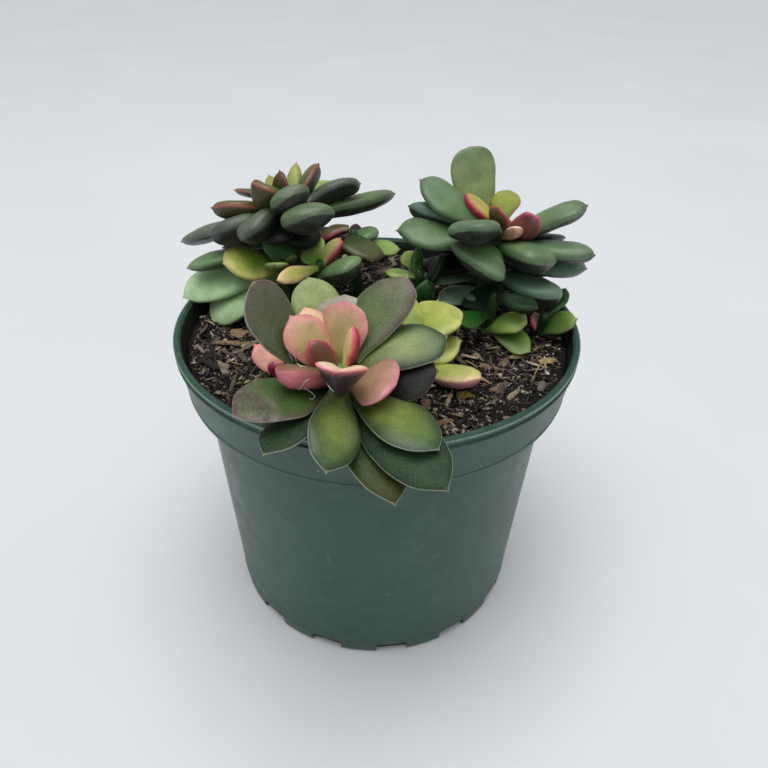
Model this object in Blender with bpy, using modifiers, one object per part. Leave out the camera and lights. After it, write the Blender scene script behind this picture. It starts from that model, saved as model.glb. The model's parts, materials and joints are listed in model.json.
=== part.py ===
"""Sunrise succulent: three leafy rosettes with their offsets, growing in one
round nursery pot.  Metres, +Z up.  The origin is the middle of the pot's base,
on the surface that the pot stands on; -Y is the front, +X the right side.
"""
import math

import bmesh
import bpy
from mathutils import Matrix, Vector

MM = 0.001

# ---------------------------------------------------------------- dimensions
# pot (mm)
POT_HEIGHT = 88.0
RIM_RADIUS = 54.0            # lip, the widest part of the pot
BAND_TOP_RADIUS = 53.5       # rim band under the lip
BAND_FOOT_RADIUS = 51.8
BAND_HEIGHT = 14.9           # from the band's lower edge to the lip's top
BODY_TOP_RADIUS = 47.7       # tapered body under the band
BASE_RADIUS = 43.4
WALL = 1.4
FLOOR = 1.5
LIP_HEIGHT = 3.4             # two thin ridges with a groove between
SLOT_COUNT = 14              # drainage slots at the foot
SLOT_WIDTH = 9.0
SLOT_HEIGHT = 3.5
SLOT_FIRST = -82.0           # degrees from +X, the slot right of the front

# potting mix (mm)
SOIL_EDGE = 82.0             # height of the surface at the wall
SOIL_MIDDLE = 83.4
SOIL_BUMP = 0.7

# plants (mm)
STEM_RADIUS = 2.6
STEM_CROWN_RADIUS = 3.1
OFFSET_STEM_RADIUS = 1.5
STEM_DEPTH = 6.0             # how far a stem goes down into the mix
GAP = 0.32                   # clearance between touching pieces

# Leaf outlines: width at the root, place of the widest point, fullness of
# the shoulders, bluntness of the end, share of the thickness that stands
# above the margin, and how keeled the underside is (0 round, 1 a keel).
OUTLINES = {
    "oval": (0.40, 0.60, 2.0, 1.75, 0.30, 0.4),
    "blunt": (0.46, 0.66, 3.2, 2.4, 0.34, 0.4),
    "narrow": (0.50, 0.50, 1.8, 1.4, 0.34, 0.4),
    "round": (0.38, 0.62, 2.5, 2.0, 0.28, 0.3),
    "plump": (0.50, 0.60, 2.2, 1.75, 0.42, 0.5),
    "stub": (0.55, 0.64, 2.8, 2.3, 0.42, 0.5),
    "wedge": (0.34, 0.62, 2.6, 1.8, 0.14, 1.0),
}

# Stems: foot on the mix and end of the stem (mm).
STEMS = {
    "front": ((-7, -31, 82), (-8, -42, 100)),
    "left": ((-23, 20, 81), (-24, 16, 114)),
    "right": ((31, 17, 81), (32.5, 12.5, 111)),
}

# Each leaf: name, height of its root along the stem, distance of its root
# from the stem's axis, direction round the stem (degrees from +X), rise
# (degrees over the horizontal), length, width, thickness, bend along its
# length (degrees, negative droops), roll about its length (degrees),
# sideways lean of its tip (share of half the width), outline.
FRONT_LEAVES = [
    # upper whorl, turned up behind the heart
    ("front_leaf_pink_left", 16.5, 2.0, 155, 50, 15.0, 10.5, 4.5, -10, 25, 0, "oval"),
    ("front_leaf_pink_back", 17.5, 2.0, 80, 60, 14.5, 12.0, 4.0, -10, 15, -0.1, "round"),
    ("front_leaf_pink_near", 19.0, 2.0, -77, 35, 15.5, 10.0, 7.5, -45, 15, 0.5, "wedge"),
    ("front_leaf_pink_right", 16.0, 3.5, -32, 20, 12.0, 13.5, 3.5, -5, -20, 0.1, "oval"),
    ("front_leaf_pink_low", 15.5, 3.0, -135, 33, 15.5, 8.0, 5.5, -30, -15, 0.1, "oval"),
    # middle whorl
    ("front_leaf_right", 17.5, 4.0, 19, 18, 21.0, 12.0, 4.5, -15, -20, 0.3, "oval"),
    ("front_leaf_near_right", 12.0, 3.0, -46, 0, 27.5, 13.5, 4.5, -10, 0, 0.1, "oval"),
    ("front_leaf_near", 14.0, 4.0, -91, -7, 24.0, 11.5, 4.5, -25, 25, 0.1, "oval"),
    ("front_leaf_near_left", 12.0, 3.5, -134, 12, 25.0, 14.0, 4.0, -30, 10, 0.1, "oval"),
    ("front_leaf_back_right", 19.5, 4.0, 54, 42, 22.5, 13.0, 4.0, 15, -5, 0.4, "oval"),
    ("front_leaf_back_left", 14.5, 5.5, 165, 57, 24.5, 14.0, 3.5, 25, 10, 0, "round"),
    ("front_leaf_back", 18.5, 3.5, 87, 42, 15.5, 13.0, 3.5, 10, 0, 0, "round"),
    # lowest whorl, resting over the rim
    ("front_leaf_low_side", 13.5, 4.0, -8, 14, 18.0, 13.0, 4.0, 0, -30, -0.1, "oval"),
    ("front_leaf_low_right", 10.5, 3.5, -53, -6, 34.0, 14.5, 4.5, -20, -15, 0, "oval"),
    ("front_leaf_low", 7.0, 2.0, -71, -9, 32.0, 12.5, 4.5, -30, 0, -0.2, "oval"),
    ("front_leaf_low_left", 11.0, 4.0, -117, 2, 25.0, 10.5, 4.0, -20, -5, 0.1, "oval"),
]
LEFT_LEAVES = [
    ("left_leaf_upper_near", 33.5, 3.0, -83, 33, 9.5, 11.0, 7.0, -5, -25, 0, "stub"),
    ("left_leaf_upper_left", 31.0, 5.0, -168, 6, 16.0, 8.5, 5.5, 5, -33, 0.1, "plump"),
    ("left_leaf_near_right", 29.5, 4.5, -69, 24, 15.0, 12.5, 8.0, 5, -5, -0.3, "stub"),
    ("left_leaf_near_left", 32.0, 5.0, -130, -20, 13.0, 9.5, 7.0, -20, -30, 0.1, "stub"),
    ("left_leaf_back_right", 31.5, 4.0, 26, 13, 16.5, 10.5, 5.5, -25, 35, 0.1, "plump"),
    ("left_leaf_right", 28.5, 3.5, 26, 4, 28.0, 10.0, 5.5, -5, 12, -0.2, "plump"),
    ("left_leaf_left", 27.0, 4.0, -156, 0, 19.0, 11.0, 7.5, -15, -38, 0.2, "plump"),
    ("left_leaf_far_left", 25.0, 5.0, 180, -10, 28.0, 12.5, 5.0, -30, -10, 0.1, "plump"),
    ("left_leaf_bright", 16.5, 4.0, -140, 10, 19.0, 12.5, 4.5, 5, 25, 0.1, "plump"),
    ("left_leaf_lower_left", 17.0, 4.5, -161, -1, 26.0, 11.5, 5.0, -30, -15, 0, "plump"),
    ("left_leaf_low_left", 12.5, 4.5, -160, -12, 29.0, 14.0, 5.0, -45, 13, 0.3, "plump"),
    ("left_leaf_lowest", 11.5, 5.0, -149, -24, 24.5, 14.5, 5.0, -45, 10, 0, "plump"),
]
RIGHT_LEAVES = [
    ("right_leaf_upright", 27.5, 5.0, 122, 57, 21.5, 13.5, 4.0, 25, 7, 0.1, "blunt"),
    ("right_leaf_near_left", 28.0, 4.0, -126, 20, 17.0, 12.5, 6.5, -20, -17, 0, "stub"),
    ("right_leaf_upper_left", 29.5, 5.0, 169, 28, 20.0, 13.5, 5.0, 10, 10, 0.2, "plump"),
    ("right_leaf_upper_right", 26.0, 4.0, -10, 31, 20.5, 11.0, 6.0, -10, 0, 0.1, "plump"),
    ("right_leaf_near_right", 23.5, 4.0, -56, 6, 15.5, 12.0, 7.5, -20, 10, 0, "stub"),
    ("right_leaf_left", 24.0, 4.0, -172, 9, 24.0, 13.5, 5.5, -15, 12, 0.1, "plump"),
    ("right_leaf_back_left", 27.5, 4.5, 169, 13, 21.0, 8.5, 6.5, 0, -20, 0, "plump"),
    ("right_leaf_near", 23.5, 5.0, -120, 5, 13.5, 16.5, 6.0, -5, 15, -0.2, "stub"),
    ("right_leaf_right", 23.0, 3.5, -28, 7, 23.0, 10.0, 6.0, -10, 0, -0.2, "plump"),
    ("right_leaf_low_right", 19.0, 4.5, -17, 1, 21.0, 9.0, 5.5, -15, -25, -0.1, "plump"),
    ("right_leaf_lower_near", 14.5, 4.0, -50, 3, 19.5, 11.5, 6.5, -5, 7, -0.2, "plump"),
    ("right_leaf_lower_left", 13.0, 5.0, -174, -3, 14.5, 9.0, 3.0, -5, 0, 0.1, "plump"),
]

# Whorls turned away from the front: leaves grown together on the green upper
# part of the stem.  Name, plant, heights between which that part runs, leaves.
WHORLS = [
    ("front_whorl_back", "front", 6.0, 14.0, [
        (14.5, 3.5, 112, 42, 22.5, 12.0, 4.0, 5, 5, -0.1, "round"),
        (10.0, 3.0, 75, 8, 18.0, 12.0, 4.5, -10, 0, 0, "oval"),
        (9.5, 3.0, 120, 5, 18.0, 12.0, 4.5, -10, -5, 0, "oval"),
    ]),
    ("left_whorl_back", "left", 6.0, 29.5, [
        (24.0, 3.5, 70, 0, 21.5, 12.0, 4.5, -20, 0, 0, "oval"),
        (20.5, 3.0, 146, -3, 21.5, 12.0, 5.0, -10, -13, 0, "oval"),
        (14.5, 3.5, 118, -10, 21.0, 11.5, 4.5, -12, 0, 0, "oval"),
        (14.0, 3.0, 155, -12, 23.0, 12.5, 4.5, -15, 0, 0, "oval"),
        (8.5, 3.0, 78, -10, 22.0, 12.5, 3.5, -15, 15, 0, "oval"),
        (21.0, 3.5, -176, -6, 17.0, 11.0, 4.5, -15, 0, 0, "oval"),
        (23.0, 3.0, 12, -8, 16.0, 10.0, 4.5, -15, 0, 0, "oval"),
        (28.5, 3.5, -115, -18, 9.0, 10.0, 5.0, -10, 0, 0, "oval"),
        (26.0, 3.0, -62, -14, 7.5, 10.0, 5.0, -10, 0, 0, "oval"),
    ]),
    ("right_whorl_back", "right", 6.0, 26.0, [
        (25.5, 3.0, 10, -4, 16.5, 8.5, 3.5, -15, 20, 0, "oval"),
        (19.0, 3.5, 50, -8, 22.0, 11.0, 4.0, -20, 5, 0, "oval"),
        (18.5, 3.0, 125, -4, 21.0, 12.0, 5.0, -12, -5, 0, "oval"),
        (12.5, 3.5, 92, -6, 22.0, 12.5, 4.5, -20, 0, 0, "oval"),
        (10.0, 3.0, 140, -14, 16.0, 12.0, 3.0, -20, 0, 0, "oval"),
        (19.5, 3.0, -18, -5, 15.0, 11.0, 5.0, -10, 0, 0, "oval"),
        (9.0, 3.0, -148, -2, 14.0, 10.0, 4.0, -10, 0, 0, "oval"),
        (10.0, 3.0, -105, 3, 11.0, 11.0, 4.0, -10, 0, 0, "oval"),
        (17.0, 3.5, 178, -6, 17.0, 11.0, 4.0, -10, 0, 0, "oval"),
        (21.0, 3.5, 158, -2, 17.0, 11.0, 4.0, -10, 0, 0, "oval"),
    ]),
]

# Hearts: the youngest leaves, grown together at the stem's end.  Name, plant,
# heights between which their common core runs, core radius, leaves.
HEARTS = [
    ("front_heart", "front", 16.0, 19.0, 2.2, [
        (19.0, 1.5, 155, 48, 7.5, 6.0, 4.0, 0, 30, -0.1, "oval"),
        (20.0, 2.5, 47, 72, 8.5, 5.0, 3.5, 0, 25, 0, "oval"),
        (17.0, 2.0, 128, 46, 15.0, 7.5, 3.0, -5, 10, -0.1, "round"),
    ]),
    ("left_heart", "left", 31.0, 34.0, 2.8, [
        (34.0, 2.0, -125, 80, 8.5, 5.0, 5.0, 0, 20, -0.1, "narrow"),
        (33.5, 2.0, 87, 35, 11.5, 4.5, 4.0, 0, 0, 0, "narrow"),
        (32.0, 2.5, 55, 41, 12.5, 7.5, 5.0, -30, 37, -0.1, "narrow"),
        (33.0, 2.5, -145, 40, 11.0, 9.5, 7.5, -25, -8, -0.1, "oval"),
        (32.5, 3.0, 122, 14, 13.0, 5.0, 3.0, 20, -5, 0.2, "oval"),
        (33.5, 4.0, 154, -2, 14.5, 6.0, 3.0, -15, -8, 0, "oval"),
        (30.5, 3.5, 62, 10, 15.5, 7.0, 4.0, 0, -5, 0, "round"),
    ]),
    ("right_heart", "right", 27.5, 31.0, 2.8, [
        (31.0, 2.0, 77, 14, 12.5, 8.0, 4.5, -13, 0, 0, "oval"),
        (29.5, 2.5, 152, 38, 10.5, 8.5, 4.5, -10, -10, 0, "oval"),
        (28.5, 1.5, -105, 65, 8.0, 7.0, 3.0, -5, 27, 0.2, "oval"),
        (30.5, 3.0, 75, 3, 10.0, 4.5, 3.5, 0, 0, 0, "oval"),
        (28.0, 3.0, -38, 29, 10.5, 8.5, 3.0, 10, 58, 0.5, "round"),
        (28.0, 3.5, -62, 33, 7.0, 4.5, 3.0, -5, 17, 0.2, "oval"),
    ]),
]

# Offsets: small side shoots, each a short stem with its own leaves.
OFFSETS = [
    ("left_offset_front", (-15, 8, 82), (-15.5, 5, 98), [
        (19.0, 3.0, -130, 9, 12.5, 4.5, 3.0, 0, 50, -0.2, "oval"),
        (19.0, 3.0, 112, 18, 8.0, 8.0, 3.0, -5, 35, 0.2, "oval"),
        (20.0, 2.0, 56, 35, 7.5, 6.0, 4.0, -10, 20, 0.2, "oval"),
        (16.5, 2.0, -34, 31, 12.5, 9.0, 6.5, -25, -5, 0.1, "blunt"),
    ]),
    ("left_offset_back", (-6, 19, 82), (-7, 16, 101), [
        (24.5, 3.0, 175, -24, 7.0, 7.0, 3.5, -45, 5, 0, "oval"),
        (19.0, 1.5, 91, 13, 10.5, 4.5, 3.5, -5, -5, 0.1, "oval"),
        (21.0, 1.5, 50, 8, 8.0, 6.0, 4.0, -15, -5, 0, "oval"),
        (22.5, 1.5, -71, -9, 10.5, 11.0, 4.5, -25, 10, -0.3, "oval"),
        (19.0, 2.0, 14, -6, 11.0, 8.0, 4.0, -10, -5, 0.1, "oval"),
    ]),
    ("left_offset_near", (-25, 9, 82), (-26, 8, 97), [
        (17.5, 2.0, 97, 60, 7.5, 11.0, 5.5, -5, -20, 0, "round"),
        (18.0, 1.5, -110, 24, 4.5, 7.0, 3.0, 5, -10, -0.2, "oval"),
        (17.5, 2.5, 66, 0, 4.5, 4.0, 3.0, 0, 45, -0.1, "narrow"),
    ]),
    ("right_offset_front", (30, 1, 82), (30.5, -1, 92), [
        (10.0, 2.0, 107, 9, 8.5, 12.5, 3.0, -18, 30, 0, "oval"),
        (9.5, 3.0, -133, 15, 13.0, 6.0, 3.5, 30, 30, 0.1, "oval"),
        (15.0, 2.5, -34, 0, 9.5, 6.0, 4.5, 5, -13, 0, "oval"),
        (2.5, 1.0, -37, 32, 12.0, 7.5, 4.5, -55, -25, 0, "blunt"),
        (4.0, 2.5, -40, -5, 12.0, 8.0, 3.0, 0, -16, 0.4, "oval"),
    ]),
    ("right_offset_side", (45, 2, 82), (45, 0, 88), [
        (3.0, 1.0, 127, 62, 4.0, 4.5, 3.5, 0, -7, 0, "round"),
        (3.5, 1.5, -34, 40, 10.0, 7.0, 3.5, -30, -40, 0.2, "oval"),
        (7.5, 1.5, 64, 35, 5.5, 5.5, 3.5, 0, -10, -0.1, "round"),
        (8.5, 3.0, 53, 22, 9.0, 5.5, 3.0, -15, 0, 0, "oval"),
    ]),
    ("right_offset_left", (11, 9, 82), (11, 8, 94), [
        (12.5, 1.0, 100, 78, 9.5, 4.0, 3.0, 10, -35, 0.2, "oval"),
        (16.5, 2.5, 110, 4, 8.5, 5.5, 3.0, -8, 20, 0, "oval"),
        (11.0, 2.5, 20, 66, 10.0, 6.5, 3.5, -5, 10, 0, "oval"),
        (14.5, 2.0, 172, 5, 7.5, 5.0, 3.0, -10, 0, 0, "oval"),
        (3.0, 2.0, -65, 78, 12.5, 7.0, 4.0, -10, 0, 0, "oval"),
    ]),
    ("front_offset_right", (10, -15, 82), (10, -18, 95), [
        (10.0, 2.0, 54, 18, 13.0, 15.0, 4.5, 15, 10, -0.2, "blunt"),
        (12.5, 2.0, 110, 35, 11.0, 6.5, 4.0, 5, 0, 0.1, "narrow"),
        (6.5, 1.0, 70, 17, 18.0, 5.0, 3.0, 5, 0, 0, "narrow"),
        (4.5, 1.5, 6, 17, 10.5, 8.5, 4.0, 25, -15, -0.2, "oval"),
        (1.5, 2.5, -43, 17, 19.0, 10.0, 5.5, 5, 5, 0.1, "oval"),
    ]),
    ("front_offset_left", (-21, -24, 82), (-22, -25, 86.5), [
        (4.0, 1.5, 148, 28, 9.5, 6.5, 3.0, 5, 25, 0.1, "round"),
        (4.5, 1.0, -150, 66, 4.5, 5.0, 3.0, 5, -45, 0, "round"),
    ]),
]

# ---------------------------------------------------------------- colours
GREEN = (0.10, 0.20, 0.09)
DEEP_GREEN = (0.045, 0.085, 0.055)
PINK = (0.62, 0.24, 0.24)
BRIGHT = (0.38, 0.45, 0.10)
COLOURS = {
    "pot": ((0.045, 0.095, 0.072), 0.45),
    "soil": (( 0.022, 0.016, 0.012), 0.95),
    "stem": ((0.10, 0.075, 0.035), 0.8),
    "leaf": (GREEN, 0.5),
    "deep": (DEEP_GREEN, 0.5),
    "pink": (PINK, 0.5),
    "bright": (BRIGHT, 0.5),
}


# ---------------------------------------------------------------- helpers
for old in list(bpy.data.objects):
    bpy.data.objects.remove(old, do_unlink=True)

model = bpy.data.collections.new("sunrise_succulent_pot")
tools = bpy.data.collections.new("cutters")
bpy.context.scene.collection.children.link(model)
bpy.context.scene.collection.children.link(tools)

plant_root = bpy.data.objects.new("plant_pot_origin", None)
model.objects.link(plant_root)


def material(name, kind):
    """One Principled material for one piece."""
    colour, rough = COLOURS[kind]
    mat = bpy.data.materials.new(name)
    mat.use_nodes = True
    shader = mat.node_tree.nodes["Principled BSDF"]
    shader.inputs["Base Color"].default_value = (*colour, 1.0)
    shader.inputs["Roughness"].default_value = rough
    shader.inputs["Metallic"].default_value = 0.0
    return mat


def make_object(name, bm, kind, collection=None):
    """Turn a bmesh (in mm) into a named object in metres."""
    bmesh.ops.scale(bm, vec=(MM, MM, MM), verts=bm.verts)
    mesh = bpy.data.meshes.new(name)
    bm.normal_update()
    bm.to_mesh(mesh)
    bm.free()
    ob = bpy.data.objects.new(name, mesh)
    if collection is None:
        model.objects.link(ob)
        ob.parent = plant_root
        mesh.materials.append(material(name, kind))
    else:
        collection.objects.link(ob)
        ob.hide_render = True
        ob.display_type = "WIRE"
    return ob


def half_width(u, outline):
    """Half of the leaf's width at the share u of its length, from 0 to 1."""
    root, widest, full, blunt = OUTLINES[outline][:4]
    if u < widest:
        a = u / widest
        return root + (1.0 - root) * a * a * (3.0 - 2.0 * a)
    b = (u - widest) / (1.0 - widest)
    return max(0.0, 1.0 - b ** full) ** (1.0 / blunt)


def plumpness(u):
    """Leaf thickness at the share u of its length."""
    stops = ((0.0, 0.60), (0.15, 0.75), (0.45, 1.0), (0.75, 0.90), (0.90, 0.60), (1.0, 0.08))
    for (u0, t0), (u1, t1) in zip(stops, stops[1:]):
        if u <= u1:
            return t0 + (t1 - t0) * (u - u0) / (u1 - u0)
    return stops[-1][1]


def leaf_bmesh(root, azimuth, rise, length, width, thick, bend, roll, lean, outline,
               grow=0.0, around=9, along=8):
    """A fleshy leaf: a sphere drawn out along a bent line, low on its upper
    face and full or keeled below.  grow makes it larger all round, for a cutter."""
    a, e, r = math.radians(azimuth), math.radians(rise), math.radians(roll)
    ahead = Vector((math.cos(a) * math.cos(e), math.sin(a) * math.cos(e), math.sin(e)))
    side = Vector((math.sin(a), -math.cos(a), 0.0))
    up = side.cross(ahead)
    side, up = side * math.cos(r) + up * math.sin(r), up * math.cos(r) - side * math.sin(r)
    start = Vector(root) - ahead * grow
    full = length + 2.0 * grow
    arc = math.radians(bend)
    above, keel = OUTLINES[outline][4:]
    bm = bmesh.new()
    bmesh.ops.create_uvsphere(bm, u_segments=around, v_segments=along, radius=1.0)
    for v in bm.verts:
        x, y, z = v.co
        # the rows sit a little closer at the root and at the tip
        u = math.acos(max(-1.0, min(1.0, -z))) / math.pi
        u = 0.6 * u + 0.2 * (1.0 - math.cos(math.pi * u))
        ring = math.hypot(x, y)
        c, s = (x / ring, y / ring) if ring > 1e-5 else (0.0, 0.0)
        angle = arc * (u - 0.5)
        if abs(arc) > 1e-4:
            chord = 2.0 * math.sin(arc / 2.0) / arc
            along_x = (math.sin(angle) + math.sin(arc / 2.0)) / arc / chord
            along_z = (math.cos(arc / 2.0) - math.cos(angle)) / arc / chord
        else:
            along_x, along_z = u, 0.0
        w = half_width(u, outline) * width / 2.0
        t = plumpness(u) * thick
        q = max(0.0, (u - 0.45) / 0.55)
        sideways = lean * width / 2.0 * q * q * (3.0 - 2.0 * q)
        if ring > 1e-5:
            w += grow
            t += 2.0 * grow
        if s > 0:
            lift = above * t * s ** 1.2
        else:
            lift = (above - 1.0) * t * ((1.0 - keel) * abs(s) ** 1.05 + keel * max(0.0, 1.0 - abs(c)) ** 0.85)
        if ring <= 1e-5:
            lift = 0.0
        face = up * math.cos(angle) - ahead * math.sin(angle)
        v.co = (start + ahead * (full * along_x) + up * (full * along_z)
                + side * (w * c + sideways) + face * lift)
    bm.normal_update()
    if bm.calc_volume(signed=True) < 0:
        bmesh.ops.reverse_faces(bm, faces=bm.faces)
    return bm


def rod_bmesh(foot, end, r0, r1, segments):
    """A tapered rod from foot to end."""
    foot, end = Vector(foot), Vector(end)
    axis = end - foot
    bm = bmesh.new()
    bmesh.ops.create_cone(bm, cap_ends=True, cap_tris=False, segments=segments,
                          radius1=r0, radius2=r1, depth=axis.length)
    turn = axis.to_track_quat("Z", "Y").to_matrix().to_4x4()
    bmesh.ops.transform(bm, matrix=Matrix.Translation((foot + end) / 2.0) @ turn, verts=bm.verts)
    return bm


def boolean(ob, others, operation):
    """Apply Boolean modifiers, exact solver, and keep the result as the mesh."""
    for other in others:
        mod = ob.modifiers.new("trim", "BOOLEAN")
        mod.operation = operation
        mod.solver = "EXACT"
        mod.object = other
    graph = bpy.context.evaluated_depsgraph_get()
    graph.update()
    done = bpy.data.meshes.new_from_object(ob.evaluated_get(graph))
    ob.modifiers.clear()
    done.name = ob.data.name
    ob.data = done


def body_volume(island):
    total = 0.0
    for f in island:
        p = [v.co for v in f.verts]
        for i in range(1, len(p) - 1):
            total += p[0].dot(p[i].cross(p[i + 1])) / 6.0
    return abs(total)


def largest_body(mesh, near):
    """The mesh's largest body as a bmesh, with points closer than near joined."""
    bm = bmesh.new()
    bm.from_mesh(mesh)
    bmesh.ops.triangulate(bm, faces=bm.faces)
    if near > 0.0:
        bmesh.ops.remove_doubles(bm, verts=bm.verts, dist=near)
        bmesh.ops.dissolve_degenerate(bm, edges=bm.edges, dist=near)
        bmesh.ops.triangulate(bm, faces=bm.faces)
    seen, islands = set(), []
    for face in bm.faces:
        if face in seen:
            continue
        island, stack = [], [face]
        seen.add(face)
        while stack:
            f = stack.pop()
            island.append(f)
            for edge in f.edges:
                for g in edge.link_faces:
                    if g not in seen:
                        seen.add(g)
                        stack.append(g)
        islands.append(island)
    islands.sort(key=body_volume)
    for island in islands[:-1]:
        bmesh.ops.delete(bm, geom=island, context="FACES")
    loose = [v for v in bm.verts if not v.link_faces]
    bmesh.ops.delete(bm, geom=loose, context="VERTS")
    return bm


def keep_largest(ob):
    """Drop loose crumbs that a cut leaves, and needle-thin faces."""
    for near in (2e-6, 5e-7, 5e-6, 1e-5, 2e-5, 0.0):
        bm = largest_body(ob.data, near)
        if all(edge.is_manifold for edge in bm.edges) or near == 0.0:
            break
        bm.free()
    bm.normal_update()
    bm.to_mesh(ob.data)
    bm.free()


def smooth(ob, angle=40.0):
    ob.data.shade_smooth()
    ob.data.set_sharp_from_angle(angle=math.radians(angle))


def turned(name, profile, steps, kind=None, collection=None):
    """A turned body: the profile (radius, height in mm) under a Screw modifier."""
    mesh = bpy.data.meshes.new(name)
    count = len(profile)
    closed = profile[0][0] > 0.0
    edges = [(i, i + 1) for i in range(count - 1)] + ([(count - 1, 0)] if closed else [])
    mesh.from_pydata([(r * MM, 0.0, z * MM) for r, z in profile], edges, [])
    ob = bpy.data.objects.new(name, mesh)
    (collection or model).objects.link(ob)
    screw = ob.modifiers.new("turn", "SCREW")
    screw.steps = screw.render_steps = steps
    screw.use_merge_vertices = True
    screw.merge_threshold = 0.0001
    screw.use_smooth_shade = True
    if collection is None:
        ob.parent = plant_root
        mesh.materials.append(material(name, kind))
    else:
        ob.hide_render = True
        ob.display_type = "WIRE"
    return ob


def on_stem(foot, end, height, out, azimuth):
    """The root of a leaf: up the stem by height, then out from its axis."""
    foot, end = Vector(foot), Vector(end)
    p = foot + (end - foot).normalized() * height
    a = math.radians(azimuth)
    return p + Vector((math.cos(a), math.sin(a), 0.0)) * out


# ---------------------------------------------------------------- pot
band_foot = POT_HEIGHT - BAND_HEIGHT
lip_foot = POT_HEIGHT - LIP_HEIGHT
outer = [
    (RIM_RADIUS - 0.5, POT_HEIGHT),
    (RIM_RADIUS, POT_HEIGHT - 0.5),          # lip
    (RIM_RADIUS, lip_foot + 0.3),
    (BAND_TOP_RADIUS, lip_foot),
    (BAND_FOOT_RADIUS, band_foot),
    (BODY_TOP_RADIUS, band_foot),            # shoulder under the band
    (BASE_RADIUS, 0.8),
    (BASE_RADIUS - 0.8, 0.0),
    (0.0, 0.0),
]
inner = [
    (0.0, FLOOR),
    (BASE_RADIUS - WALL, FLOOR),
    (BODY_TOP_RADIUS - WALL, band_foot + WALL),
    (BAND_FOOT_RADIUS - WALL, band_foot + WALL),
    (BAND_TOP_RADIUS - WALL, lip_foot),
    (RIM_RADIUS - 1.9, POT_HEIGHT - 0.4),
    (RIM_RADIUS - 1.5, POT_HEIGHT),
]
pot = turned("pot", inner + outer, 56, "pot")
bpy.context.view_layer.update()

slots = []
for i in range(SLOT_COUNT):
    turn = math.radians(SLOT_FIRST + i * 360.0 / SLOT_COUNT)
    bm = bmesh.new()
    bmesh.ops.create_cube(bm, size=1.0)
    bmesh.ops.scale(bm, vec=(9.0, SLOT_WIDTH, SLOT_HEIGHT + 2.0), verts=bm.verts)
    bmesh.ops.translate(bm, vec=(BASE_RADIUS, 0.0, (SLOT_HEIGHT - 2.0) / 2.0), verts=bm.verts)
    bmesh.ops.rotate(bm, cent=(0, 0, 0), matrix=Matrix.Rotation(turn, 3, "Z"), verts=bm.verts)
    slots.append(make_object("slot_cutter_%02d" % i, bm, None, tools))
boolean(pot, slots, "DIFFERENCE")
keep_largest(pot)
smooth(pot, 30)

# A ring that stands for the pot's upper wall with the clearance, to trim
# the leaves that rest over the rim.
rim_cutter = turned("rim_cutter", [
    (50.0 - WALL - GAP, 60.0),
    (50.0 - WALL - GAP, band_foot),
    (RIM_RADIUS - 1.9 - GAP, lip_foot),
    (RIM_RADIUS - 1.9 - GAP, POT_HEIGHT + GAP),
    (RIM_RADIUS + GAP, POT_HEIGHT + GAP),
    (RIM_RADIUS + GAP, lip_foot),
    (BAND_FOOT_RADIUS + GAP, band_foot),
    (BAND_FOOT_RADIUS + GAP, 60.0),
], 56, collection=tools)

# ---------------------------------------------------------------- soil
def soil_height(x, y):
    """Uneven surface of the mix, in mm."""
    r = math.hypot(x, y) / 52.0
    level = SOIL_MIDDLE + (SOIL_EDGE - SOIL_MIDDLE) * r * r
    waves = (math.sin(0.21 * x + 0.9) * math.cos(0.17 * y - 0.4)
             + 0.6 * math.sin(0.37 * x - 0.29 * y + 1.3))
    return level + SOIL_BUMP * waves * (1.0 - 0.6 * r ** 4)


SOIL_RINGS = [
    # radius, height, or None for the uneven surface
    (BASE_RADIUS - WALL - 1.0, FLOOR + GAP),
    (BODY_TOP_RADIUS - WALL - 0.5, band_foot + WALL + 0.2),
    (BAND_FOOT_RADIUS - WALL - 0.5, band_foot + WALL + 0.6),
    (BAND_TOP_RADIUS - WALL - 1.2, SOIL_EDGE - 1.0),
    (49.5, None), (41.0, None), (31.0, None), (20.0, None), (9.0, None),
]
bm = bmesh.new()
bmesh.ops.create_uvsphere(bm, u_segments=28, v_segments=len(SOIL_RINGS) + 1, radius=1.0)
for v in bm.verts:
    row = round(math.acos(max(-1.0, min(1.0, -v.co.z))) / math.pi * (len(SOIL_RINGS) + 1))
    if row == 0:
        v.co = (0.0, 0.0, FLOOR + GAP)
    elif row == len(SOIL_RINGS) + 1:
        v.co = (0.0, 0.0, soil_height(0.0, 0.0))
    else:
        radius, z = SOIL_RINGS[row - 1]
        a = math.atan2(v.co.y, v.co.x)
        x, y = radius * math.cos(a), radius * math.sin(a)
        v.co = (x, y, soil_height(x, y) if z is None else z)
soil = make_object("soil", bm, "soil")

# ---------------------------------------------------------------- stems
finished = []      # (object, its cutter), in the order in which they have the right of way
soil_cutters = []


def add_stem(name, foot, end, r0, r1, segments=12):
    foot, end = Vector(foot), Vector(end)
    low = foot - (end - foot).normalized() * STEM_DEPTH
    ob = make_object(name, rod_bmesh(low, end, r0, r1, segments), "stem")
    ahead = (end - foot).normalized()
    cutter = make_object(name + "_cutter",
                         rod_bmesh(low - ahead * GAP, end + ahead * GAP, r0 + GAP + 0.1, r1 + GAP + 0.1, segments),
                         None, tools)
    finished.append((ob, [cutter]))
    soil_cutters.append(cutter)
    return ob


STEM_TOPS = {plant: low - GAP for _, plant, low, _, _ in WHORLS}
HEART_FEET = {plant: high + GAP for _, plant, _, high, _ in WHORLS}
for plant, (foot, end) in STEMS.items():
    top = on_stem(foot, end, STEM_TOPS[plant], 0.0, 0.0)
    add_stem(plant + "_stem", foot, top, STEM_RADIUS, STEM_CROWN_RADIUS)


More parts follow.
